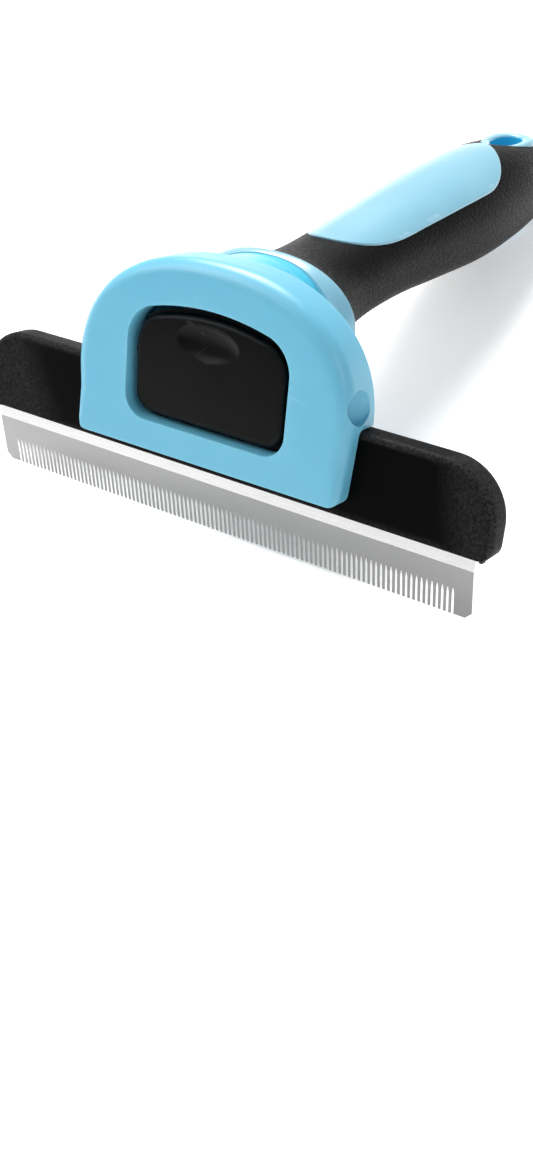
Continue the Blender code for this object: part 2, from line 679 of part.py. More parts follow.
def rest_on_table():
    """Leans the head's frame back until the comb and the handle's end touch the ground, and centres it."""
    tip = Vector((TIP_BACK, TIP_Z))
    leans = []
    for i in range(200):
        distance = 80.0 + (HANDLE_END - 80.3) * i / 199
        low = section_point(distance, math.pi, *skin(distance))
        leans.append(math.atan2(low.z - tip.y, low.y - tip.x))
    head_frame.rotation_euler = (-min(leans), 0.0, 0.0)
    bpy.context.view_layer.update()
    corners = []
    graph = bpy.context.evaluated_depsgraph_get()
    for obj in parts.objects:
        shown = obj.evaluated_get(graph)
        shape = shown.to_mesh()
        corners += [shown.matrix_world @ v.co for v in shape.vertices]
        shown.to_mesh_clear()
    back = (min(c.y for c in corners) + max(c.y for c in corners)) / 2
    head_frame.location = (0.0, -back, -min(c.z for c in corners))


clear_scene()
parts = new_collection("deshedding_tool")
cutters = new_collection("cutters")
head_frame = bpy.data.objects.new("head_frame", None)
bpy.context.scene.collection.objects.link(head_frame)

blue = new_material("sky_blue_abs", SKY, 0.35)
pale = new_material("pale_blue_abs", PALE, 0.3)
black = new_material("black_abs", JET, 0.4)
rubber = new_material("black_rubber", JET, 0.7)
steel = new_material("stainless_steel", STEEL, 0.3, 1.0)

make_comb_blade()
make_carrier()
make_front_cover()
make_rear_housing()
make_button()
make_handle()
rest_on_table()
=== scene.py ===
"""Looks of the pet deshedding tool: its moulded and ground shapes, its finishes, the studio and the camera.

Shapes are drawn in the head's own frame, in millimetres: X across the comb, Y from the face of the head
towards the handle's end, Z up the face, with zero at the lower front edge of the comb carrier. HeadFrame
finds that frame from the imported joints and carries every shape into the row's frame, in metres.
"""

from __future__ import annotations

import json
import logging
import math
from dataclasses import dataclass, field
from enum import Enum
from typing import Sequence

import bmesh
import bpy
from mathutils import Matrix, Vector

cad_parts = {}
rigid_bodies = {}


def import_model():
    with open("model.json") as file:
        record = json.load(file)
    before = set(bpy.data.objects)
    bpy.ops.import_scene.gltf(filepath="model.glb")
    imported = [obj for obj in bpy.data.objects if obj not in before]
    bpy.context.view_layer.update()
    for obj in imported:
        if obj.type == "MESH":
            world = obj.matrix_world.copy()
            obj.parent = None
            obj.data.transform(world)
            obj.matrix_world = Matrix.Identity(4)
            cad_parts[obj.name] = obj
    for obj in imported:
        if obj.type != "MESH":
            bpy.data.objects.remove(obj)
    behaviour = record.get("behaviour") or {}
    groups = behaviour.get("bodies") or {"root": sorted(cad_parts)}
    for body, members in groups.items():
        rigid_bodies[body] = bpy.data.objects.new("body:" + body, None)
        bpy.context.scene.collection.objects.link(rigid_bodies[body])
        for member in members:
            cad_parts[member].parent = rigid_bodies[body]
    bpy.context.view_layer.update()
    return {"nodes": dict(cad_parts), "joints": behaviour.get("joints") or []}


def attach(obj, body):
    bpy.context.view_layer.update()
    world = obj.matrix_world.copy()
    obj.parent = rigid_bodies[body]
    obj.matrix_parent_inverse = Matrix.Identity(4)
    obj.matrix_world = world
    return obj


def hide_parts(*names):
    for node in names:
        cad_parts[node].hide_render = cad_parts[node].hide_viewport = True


LOG = logging.getLogger("deshedding_tool")
MM = 0.001
Pair = tuple[float, float]
Outline = list[Pair]
Ring = list[Vector]
Point = tuple[float, float, float]
Thing = bpy.types.Object
Tree = bpy.types.NodeTree


class Body(Enum):
    """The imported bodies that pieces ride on."""

    HEAD = "head_and_handle"
    BUTTON = "button"
    COMB = "comb_cartridge"


class Slot(Enum):
    """The record's material slots."""

    SKY = "sky_blue_plastic"
    PALE = "pale_blue_plastic"
    RUBBER = "grip_rubber"
    BLACK = "black_plastic"
    STEEL = "stainless_steel"


# ---- Colour and nodes -------------------------------------------------------------------------------
def linear(hex_colour: str) -> tuple[float, float, float, float]:
    """Turns an sRGB hex colour into linear RGBA.

    Args:
        hex_colour: Six hex digits, with or without a leading hash.

    Returns:
        Linear red, green and blue, and an alpha of one.
    """
    digits = hex_colour.lstrip("#")
    channels = []
    for start in (0, 2, 4):
        value = int(digits[start : start + 2], 16) / 255
        channels.append(value / 12.92 if value <= 0.04045 else ((value + 0.055) / 1.055) ** 2.4)
    return (channels[0], channels[1], channels[2], 1.0)


def per_metre(millimetres: float) -> float:
    """Scale of a texture whose features are this many millimetres across."""
    return 1000.0 / millimetres


def fill(tree: Tree, node: bpy.types.Node, inputs: dict[str | int, object]) -> None:
    """Fills a node's inputs.

    Args:
        tree: The node's tree.
        node: The node.
        inputs: For each input a value, an output socket, or a node that gives its first output.
    """
    for key, value in inputs.items():
        source = value.outputs[0] if isinstance(value, bpy.types.Node) else value
        if isinstance(source, bpy.types.NodeSocket):
            tree.links.new(source, node.inputs[key])
        else:
            node.inputs[key].default_value = source


def add_node(
    tree: Tree, kind: str, settings: dict[str, object] | None = None,
    inputs: dict[str | int, object] | None = None
) -> bpy.types.Node:
    """Adds a node, sets its properties, and fills its inputs with values or links.

    Args:
        tree: The node tree to add to.
        kind: The node's type name without "ShaderNode".
        settings: Properties of the node by name.
        inputs: What goes into its inputs, as for fill.

    Returns:
        The new node.
    """
    node = tree.nodes.new(f"ShaderNode{kind}")
    for key, value in (settings or {}).items():
        setattr(node, key, value)
    fill(tree, node, inputs or {})
    return node


def set_ramp(node: bpy.types.Node, stops: Sequence[tuple[float, str]]) -> None:
    """Sets the stops of a colour ramp.

    Args:
        node: A colour ramp node.
        stops: Position and sRGB hex colour of each stop, in order.
    """
    ramp = node.color_ramp
    while len(ramp.elements) < len(stops):
        ramp.elements.new(0.5)
    for element, (position, colour) in zip(ramp.elements, stops):
        element.position = position
        element.color = linear(colour)


@dataclass(frozen=True)
class Finish:
    """What every finish shares: a name, a colour and how it takes light."""

    name: str
    colour: str
    roughness: float

    def start(self) -> tuple[bpy.types.Material, Tree, bpy.types.Node, bpy.types.NodeSocket]:
        """Makes the material.

        Returns:
            The material, its tree, its Principled shader and the rest position as a vector.
        """
        material = bpy.data.materials.new(self.name)
        material.use_nodes = True
        tree = material.node_tree
        shader = tree.nodes["Principled BSDF"]
        fill(tree, shader, {"Base Color": linear(self.colour), "Roughness": self.roughness})
        place = add_node(tree, "TexCoord").outputs["Object"]
        return material, tree, shader, place


@dataclass(frozen=True)
class MouldedPlastic(Finish):
    """Injection-moulded ABS: even colour with faint flow, a fine spark-eroded skin and softened edges."""

    second: str = ""  # the colour that the flow drifts towards
    skin_mm: float = 0.3  # grain of the mould's skin
    skin_depth: float = 0.05
    gloss_drift: float = 0.06
    specular: float = 0.5
    coat: float = 0.0
    scatter: float = 0.0
    scuff_and_highlight_colour: str = ""  # colour of the convex edges: scuffing and painted highlight
    scuff_and_highlight_strength: float = 0.5  # how strongly the scuffed, highlighted edges show

    def build(self) -> bpy.types.Material:
        """Makes the plastic.

        Returns:
            The Blender material.
        """
        material, tree, shader, place = self.start()
        # flow of the melt: patches 18 mm across that shift the colour a little
        flow = add_node(tree, "TexNoise", inputs={"Vector": place, "Scale": per_metre(18), "Detail": 3.0})
        tint = add_node(tree, "ValToRGB", inputs={"Fac": flow})
        set_ramp(tint, ((0.3, self.colour), (0.75, self.second or self.colour)))
        # scuffing and painted highlight: lighter and speckled where the surface bends outwards
        bend = add_node(tree, "NewGeometry").outputs["Pointiness"]
        scuff_and_highlight_mask = add_node(
            tree, "MapRange",
            inputs={"Value": bend, "From Min": 0.505, "From Max": 0.56, "To Min": 0.0, "To Max": self.scuff_and_highlight_strength}
        )
        speckle = add_node(tree, "TexNoise", inputs={"Vector": place, "Scale": per_metre(0.5), "Detail": 4.0})
        chance = add_node(
            tree, "MapRange", inputs={"Value": speckle, "From Min": 0.38, "From Max": 0.62, "To Min": 0.35}
        )
        share = add_node(tree, "Math", {"operation": "MULTIPLY"}, {0: scuff_and_highlight_mask, 1: chance})
        coloured = add_node(
            tree, "Mix", {"data_type": "RGBA"},
            {"Factor": share, 6: tint, 7: linear(self.scuff_and_highlight_colour or self.colour)}
        )
        # handling: gloss drifts over 7 mm patches, as skin and cloth leave it
        rub = add_node(tree, "TexNoise", inputs={"Vector": place, "Scale": per_metre(7), "Detail": 5.0})
        gloss = add_node(
            tree, "MapRange",
            inputs={
                "Value": rub, "From Min": 0.3, "From Max": 0.7, "To Min": self.roughness - self.gloss_drift,
                "To Max": self.roughness + self.gloss_drift
            }
        )
        # the mould's eroded skin
        grain = add_node(
            tree, "TexNoise", inputs={"Vector": place, "Scale": per_metre(self.skin_mm), "Detail": 2.0}
        )
        edge = add_node(tree, "Bevel", {"samples": 4}, {"Radius": 0.12 * MM})
        bump = add_node(
            tree, "Bump",
            inputs={"Strength": self.skin_depth, "Distance": 0.1 * MM, "Height": grain, "Normal": edge}
        )
        body = {"Base Color": coloured.outputs[2], "Roughness": gloss, "Normal": bump, "IOR": 1.53}
        coat = {"Specular IOR Level": self.specular, "Coat Weight": self.coat, "Coat Roughness": 0.28}
        milk = {
            "Subsurface Weight": self.scatter, "Subsurface Radius": (0.4, 0.8, 1.0),
            "Subsurface Scale": 0.8 * MM
        }
        fill(tree, shader, body | coat | milk)
        return material


@dataclass(frozen=True)
class GripRubber(Finish):
    """Thermoplastic rubber from an etched mould: a fine leathery speckle that glints where light grazes."""

    speck: str = "#181818"
    grain_mm: float = 0.42  # the etched grain is about 0.2 mm; drawn coarser so that it shows

    def build(self) -> bpy.types.Material:
        """Makes the rubber.

        Returns:
            The Blender material.
        """
        material, tree, shader, place = self.start()
        grain = add_node(
            tree, "TexNoise",
            inputs={"Vector": place, "Scale": per_metre(self.grain_mm), "Detail": 3.0, "Roughness": 0.6}
        )
        cells = add_node(
            tree, "TexVoronoi", {"feature": "F1"}, {"Vector": place, "Scale": per_metre(self.grain_mm * 1.6)}
        )
        tint = add_node(tree, "ValToRGB", inputs={"Fac": grain})
        set_ramp(tint, ((0.35, "#060606"), (0.56, self.colour), (0.72, self.speck)))
        gloss = add_node(
            tree, "MapRange",
            inputs={
                "Value": grain, "From Min": 0.35, "From Max": 0.65, "To Min": self.roughness + 0.1,
                "To Max": self.roughness - 0.12
            }
        )
        pebble = add_node(tree, "Math", {"operation": "SUBTRACT"}, {0: grain, 1: cells})
        bump = add_node(tree, "Bump", inputs={"Strength": 0.5, "Distance": 0.12 * MM, "Height": pebble})
        surface = {"Base Color": tint, "Roughness": gloss, "Normal": bump}
        fill(tree, shader, surface | {"IOR": 1.5, "Specular IOR Level": 0.1})
        return material


@dataclass(frozen=True)
class WorkedSteel(Finish):
    """Stainless steel that was rolled, brushed or ground: fine parallel scratches along one direction."""

    along: str = "x"  # the way that the scratches run
    line_mm: float = 0.14  # real lines are a few hundredths apart; drawn coarser so that they show
    anisotropy: float = 0.5
    depth: float = 0.2
    contrast: float = 0.06

    def build(self) -> bpy.types.Material:
        """Makes the steel.

        Returns:
            The Blender material.
        """
        material, tree, shader, place = self.start()
        fine = per_metre(self.line_mm)
        long_way = per_metre(14)
        stretch = {
            "x": (long_way, fine, fine), "z": (fine, long_way, long_way)
        }.get(self.along, (fine, fine, fine))
        stretched = add_node(tree, "VectorMath", {"operation": "MULTIPLY"}, {0: place, 1: stretch})
        lines = add_node(
            tree, "TexNoise", inputs={"Vector": stretched, "Scale": 1.0, "Detail": 4.0, "Roughness": 0.65}
        )
        cloud = add_node(tree, "TexNoise", inputs={"Vector": place, "Scale": per_metre(9), "Detail": 2.0})
        mixed = add_node(tree, "Math", {"operation": "MULTIPLY_ADD"}, {0: cloud, 1: 0.35, 2: lines})
        tone = add_node(
            tree, "MapRange",
            inputs={
                "Value": mixed, "From Min": 0.4, "From Max": 0.95, "To Min": 1.0 - self.contrast,
                "To Max": 1.0 + self.contrast
            }
        )
        tint = add_node(
            tree, "VectorMath", {"operation": "SCALE"}, {0: linear(self.colour)[:3], "Scale": tone}
        )
        gloss = add_node(
            tree, "MapRange",
            inputs={
                "Value": lines, "From Min": 0.3, "From Max": 0.7, "To Min": self.roughness - 0.07,
                "To Max": self.roughness + 0.09
            }
        )
        bump = add_node(tree, "Bump", inputs={"Strength": self.depth, "Distance": 0.02 * MM, "Height": lines})
        surface = {"Base Color": tint, "Roughness": gloss, "Normal": bump}
        fill(tree, shader, surface | {"Metallic": 1.0, "Anisotropic": self.anisotropy})
        return material


@dataclass(frozen=True)
class OpalTable(Finish):
    """Matt opal acrylic table, lit softly from below, with a very fine tooth."""

    glow: float = 0.4

    def build(self) -> bpy.types.Material:
        """Makes the acrylic.

        Returns:
            The Blender material.
        """
        material, tree, shader, place = self.start()
        tooth = add_node(tree, "TexNoise", inputs={"Vector": place, "Scale": per_metre(1.5), "Detail": 2.0})
        bump = add_node(tree, "Bump", inputs={"Strength": 0.02, "Distance": 0.1 * MM, "Height": tooth})
        light = {"Emission Color": linear("#FFFFFF"), "Emission Strength": self.glow}
        fill(tree, shader, light | {"Normal": bump, "Specular IOR Level": 0.1})
        return material


@dataclass
class Finishes:
    """The tool's finishes, each made once."""

    # the lighter edge colours below are scuffing and painted highlight on convex edges
    # satin ABS, even and slightly milky: the head's two halves
    sky: MouldedPlastic = MouldedPlastic(
        "sky_abs_satin_moulded", "#66B5D2", 0.36, second="#6BBAD4", skin_depth=0.03, scatter=0.05,
        scuff_and_highlight_colour="#96D8EC", scuff_and_highlight_strength=0.3
    )
    # a deeper, more saturated copy of the sky ABS for the neck and rear housing: painted shade
    neck: MouldedPlastic = MouldedPlastic(
        "sky_abs_painted_shade_moulded", "#3FB9D8", 0.34, second="#4ABFDC", skin_depth=0.03, scatter=0.06,
        scuff_and_highlight_colour="#84D6EA", scuff_and_highlight_strength=0.3
    )
    # pale ABS with a polished mould: clear reflections over a milky blue
    pale: MouldedPlastic = MouldedPlastic(
        "pale_abs_gloss_moulded", "#7DB6CB", 0.3, second="#86BED1", skin_depth=0.0, gloss_drift=0.02,
        coat=0.6, scuff_and_highlight_colour="#C8E6F0", scuff_and_highlight_strength=0.3
    )
    # the wall of the hanging hole, a saturated blue
    bore: MouldedPlastic = MouldedPlastic(
        "blue_abs_bore_moulded", "#2BB2DC", 0.3, second="#33B9E2", skin_depth=0.02, coat=0.2
    )
    # black ABS, satin: a quiet face that lights up at its rounded edges
    black: MouldedPlastic = MouldedPlastic(
        "black_abs_satin_moulded", "#040404", 0.46, second="#070707", skin_mm=0.35, skin_depth=0.06,
        specular=0.03, scuff_and_highlight_colour="#6A6A6A", scuff_and_highlight_strength=0.7
    )
    # the rocker, smoothed a little by thumbs; its lighter edges are scuffing and painted highlight
    rocker: MouldedPlastic = MouldedPlastic(
        "black_abs_rubbed_moulded", "#050505", 0.36, second="#080808", skin_depth=0.05, specular=0.09,
        scuff_and_highlight_colour="#3A3A3A"
    )
    rubber: GripRubber = GripRubber("black_tpr_etched_grip", "#060606", 0.48)
    # the blade's flat strip, brushed along its length: nearly white in soft light
    strip: WorkedSteel = WorkedSteel("stainless_steel_brushed_strip", "#E6E5E4", 0.3, contrast=0.03)
    # the bevel, ground across: its even mid grey, darker than the strip, is painted shade where the bevel
    # faces down
    bevel: WorkedSteel = WorkedSteel(
        "stainless_steel_bevel_painted_shade", "#939392", 0.34, along="x", line_mm=0.2, contrast=0.07
    )
    # sawn walls of the slots and the plate's edges; their near white, lighter than the strip, is painted
    # light against the shade between the slot walls
    sawn: WorkedSteel = WorkedSteel("stainless_steel_sawn_edge_painted_light", "#F2F2F1", 0.3, along="z", anisotropy=0.2)
    # screws, pin, spring and latch: drawn and plated wire and bar
    plated: WorkedSteel = WorkedSteel("steel_zinc_plated", "#C9CBCC", 0.27, along="", anisotropy=0.0)
    made: dict[str, bpy.types.Material] = field(default_factory=dict)

    def get(self, finish: Finish) -> bpy.types.Material:
        """The material for a finish, made on first use.

        Args:
            finish: One of this object's finishes.

        Returns:
            The Blender material.
        """
        if finish.name not in self.made:
            self.made[finish.name] = finish.build()
        return self.made[finish.name]


# ---- Frame and mesh tools ---------------------------------------------------------------------------
@dataclass(frozen=True)
class HeadFrame:
    """The head's frame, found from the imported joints."""

    matrix: Matrix

    @classmethod
    def from_joints(cls, joints: list[dict], pivot: Pair) -> "HeadFrame":
        """Finds the frame.

        Args:
            joints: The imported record's joints.
            pivot: Y and Z of the rocker's pin in the head's frame, in mm.

        Returns:
            The frame, whose matrix takes millimetres in the head to metres in the row.
        """
        by_name = {joint["name"]: joint for joint in joints}
        up = -Vector(by_name["carrier_release"]["axis"]).normalized()
        across = Vector((1, 0, 0))
        back = up.cross(across)
        hinge = Vector(by_name["button_rock"]["pos_m"])
        origin = hinge - (back * pivot[0] + up * pivot[1]) * MM
        turn = Matrix((across, back, up)).transposed().to_4x4()
        return cls(Matrix.Translation(origin) @ turn @ Matrix.Scale(MM, 4))


def smooth_step(low: float, high: float, value: float) -> float:
    """Eases from 0 at low to 1 at high."""
    t = min(max((value - low) / (high - low), 0.0), 1.0)
    return t * t * (3 - 2 * t)


def arc(centre: Pair, radius: float, start: float, end: float, steps: int) -> Outline:
    """Points along a circle.

    Args:
        centre: The circle's centre.
        radius: Its radius.
        start: First angle, in degrees.
        end: Last angle, in degrees.
        steps: Number of steps between them.

    Returns:
        The points, both ends included.
    """
    points = []
    for i in range(steps + 1):
        angle = math.radians(start + (end - start) * i / steps)
        points.append((centre[0] + radius * math.cos(angle), centre[1] + radius * math.sin(angle)))
    return points


def mirrored(right_half: Outline) -> Outline:
    """A whole outline from its right half, which starts and ends at X = 0."""
    return right_half + [(-x, z) for x, z in reversed(right_half) if abs(x) > 1e-6]


def resample(outline: Outline, count: int) -> Outline:
    """Spreads points evenly along a closed outline.

    Args:
        outline: Points in order, not closed by a repeat of the first.
        count: How many points to return.

    Returns:
        Evenly spaced points that start at the outline's first point.
    """
    closed = outline + [outline[0]]
    lengths = [0.0]
    for (x0, z0), (x1, z1) in zip(closed, closed[1:]):
        lengths.append(lengths[-1] + math.hypot(x1 - x0, z1 - z0))
    points = []
    index = 0
    for i in range(count):
        target = lengths[-1] * i / count
        while lengths[index + 1] < target:
            index += 1
        share = (target - lengths[index]) / max(lengths[index + 1] - lengths[index], 1e-9)
        (x0, z0), (x1, z1) = closed[index], closed[index + 1]
        points.append((x0 + (x1 - x0) * share, z0 + (z1 - z0) * share))
    return points


def outward(outline: Outline) -> Outline:
    """Outward unit normals of an outline that runs anticlockwise.

    Args:
        outline: The outline.

    Returns:
        One normal for each point.
    """
    count = len(outline)
    normals = []
    for i in range(count):
        x0, z0 = outline[i - 1]
        x1, z1 = outline[(i + 1) % count]
        length = math.hypot(x1 - x0, z1 - z0) or 1.0
        normals.append(((z1 - z0) / length, -(x1 - x0) / length))
    return normals


def inset_points(outline: Outline, inset: float | Sequence[float]) -> Outline:
    """Moves each point of an outline inwards along its normal.

    Args:
        outline: The outline.
        inset: One distance, or one for each point.

    Returns:
        The moved points.
    """
    amounts = [inset] * len(outline) if isinstance(inset, (int, float)) else inset
    return [
        (x - nx * amount, z - nz * amount) for (x, z), (nx, nz),
        amount in zip(outline, outward(outline), amounts)
    ]


@dataclass
class Workshop:
    """Builds meshes in the head's frame and hands them over as finished pieces."""

    frame: HeadFrame
    finishes: Finishes
    nodes: dict[str, Thing]

    def skin(self, name: str, rings: Sequence[Ring], looped: bool = False, sharp: float = 34.0) -> Thing:
        """A mesh of quads through rings with the same number of points.

        Args:
            name: The object's name.
            rings: Rings of points in the head's frame, in mm.
            looped: Joins the last ring to the first; otherwise both ends are capped.
            sharp: Edges sharper than this many degrees stay crisp.

        Returns:
            The new object, in the row's frame.
        """
        bm = bmesh.new()
        loops = [[bm.verts.new(point) for point in ring] for ring in rings]
        count = len(rings[0])
        pairs = list(zip(loops, loops[1:]))
        if looped:
            pairs.append((loops[-1], loops[0]))
        for near, far in pairs:
            for i in range(count):
                j = (i + 1) % count
                bm.faces.new((near[i], near[j], far[j], far[i]))
        if not looped:
            bm.faces.new(reversed(loops[0]))
            bm.faces.new(loops[-1])
        return self.from_bmesh(name, bm, sharp)

    def from_bmesh(self, name: str, bm: bmesh.types.BMesh, sharp: float = 34.0) -> Thing:
        """Turns a bmesh in the head's frame into an object in the row's frame.

        Args:
            name: The object's name.
            bm: The mesh, in mm; it is freed.
            sharp: Edges sharper than this many degrees stay crisp.

        Returns:
            The new object.
        """
        bmesh.ops.transform(bm, matrix=self.frame.matrix, verts=bm.verts)
        obj = self.placed(name, bm)
        self.smooth(obj.data, sharp)
        return obj

    def placed(self, name: str, bm: bmesh.types.BMesh) -> Thing:
        """Puts a bmesh in the row's frame into the scene.

        Args:
            name: The object's name.
            bm: The mesh, in metres; it is freed.

        Returns:
            The new object.
        """
        bmesh.ops.recalc_face_normals(bm, faces=bm.faces)
        mesh = bpy.data.meshes.new(name)
        bm.to_mesh(mesh)
        bm.free()
        obj = bpy.data.objects.new(name, mesh)
        bpy.context.scene.collection.objects.link(obj)
        return obj

    def smooth(self, mesh: bpy.types.Mesh, sharp: float) -> None:
        """Shades a mesh smooth, with crisp edges where it turns by more than this many degrees."""
        mesh.shade_smooth()
        mesh.set_sharp_from_angle(angle=math.radians(sharp))

    def block(self, low: Point, high: Point) -> Thing:
        """An upright block, used as a tool for a Boolean.

        Args:
            low: Its lower corner, in mm.
            high: Its upper corner, in mm.

        Returns:
            The block.
        """
        bm = bmesh.new()
        bmesh.ops.create_cube(bm, size=1.0)
        bmesh.ops.scale(bm, vec=[b - a for a, b in zip(low, high)], verts=bm.verts)
        bmesh.ops.translate(bm, vec=[(a + b) / 2 for a, b in zip(low, high)], verts=bm.verts)
        return self.from_bmesh("tool_block", bm)

    def bar(self, start: Point, end: Point, radius: float, segments: int = 48) -> Thing:
        """A round bar between two points, used as a tool for a Boolean.

        Args:
            start: Middle of its first end, in mm.
            end: Middle of its other end.
            radius: Its radius.
            segments: Sides of its circle.

        Returns:
            The bar.
        """
        a, b = Vector(start), Vector(end)
        bm = bmesh.new()
        bmesh.ops.create_cone(
            bm, cap_ends=True, segments=segments, radius1=radius, radius2=radius, depth=(b - a).length
        )
        turn = (b - a).to_track_quat("Z", "Y").to_matrix().to_4x4()
        bmesh.ops.transform(bm, matrix=Matrix.Translation((a + b) / 2) @ turn, verts=bm.verts)
        return self.from_bmesh("tool_bar", bm)

    def shape(self, obj: Thing, operation: str, *tools: Thing) -> None:
        """Applies Booleans to an object and removes the tools.

        Args:
            obj: The object to change.
            operation: "DIFFERENCE", "UNION" or "INTERSECT".
            tools: The other operands, used in order.
        """
        for tool in tools:
            modifier = obj.modifiers.new("shape", "BOOLEAN")
            modifier.operation = operation
            modifier.solver = "EXACT"
            modifier.object = tool
            self.apply(obj)
            bpy.data.objects.remove(tool)

    def apply(self, obj: Thing) -> None:
        """Bakes an object's modifiers into its mesh.

        Args:
            obj: The object.
        """
        evaluated = obj.evaluated_get(bpy.context.evaluated_depsgraph_get())
        mesh = bpy.data.meshes.new_from_object(evaluated)
        obj.modifiers.clear()
        old, obj.data = obj.data, mesh
        bpy.data.meshes.remove(old)

    def hand_over(
        self, obj: Thing, body: Body, slot: Slot, finish: Finish, *replaced: str, sharp: float = 34.0
    ) -> Thing:
        """Gives a piece its shading, finish and body, and hides the CAD node that it stands for.

        Args:
            obj: The piece.
            body: The body that it rides on.
            slot: The record's material slot; not used.
            finish: Its finish, used where it has no material yet.
            replaced: The CAD nodes that it stands for.
            sharp: Edges sharper than this many degrees stay crisp.

        Returns:
            The same piece.
        """
        mesh = obj.data
        self.smooth(mesh, sharp)
        if not mesh.materials:
            mesh.materials.append(self.finishes.get(finish))
        even = obj.modifiers.new("even_normals", "WEIGHTED_NORMAL")
        even.keep_sharp = True
        even.weight = 60
        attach(obj, body.value)
        if replaced:
            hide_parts(*replaced)
        LOG.info("%s: %d faces, on %s", obj.name, len(mesh.polygons), body.value)
        return obj

    def refined(self, node: str, name: str) -> Thing:
        """A copy of a CAD node with its split corners joined, ready for smooth shading.

        Args:
            node: The CAD node.
            name: The copy's name.

        Returns:
            The new object.
        """
        bm = bmesh.new()
        bm.from_mesh(self.nodes[node].data)
        bmesh.ops.remove_doubles(bm, verts=bm.verts, dist=2e-6)
        bmesh.ops.dissolve_limit(bm, angle_limit=math.radians(0.3), verts=bm.verts, edges=bm.edges)
        return self.placed(name, bm)

    def dress(self, node: str, finish: Finish) -> None:
        """Gives a CAD node that stays its finish.

        Args:
            node: The CAD node's name.
            finish: The finish to put on it.
        """
        mesh = self.nodes[node].data
        mesh.materials.clear()
        mesh.materials.append(self.finishes.get(finish))
        LOG.info("%s keeps its CAD shape", node)


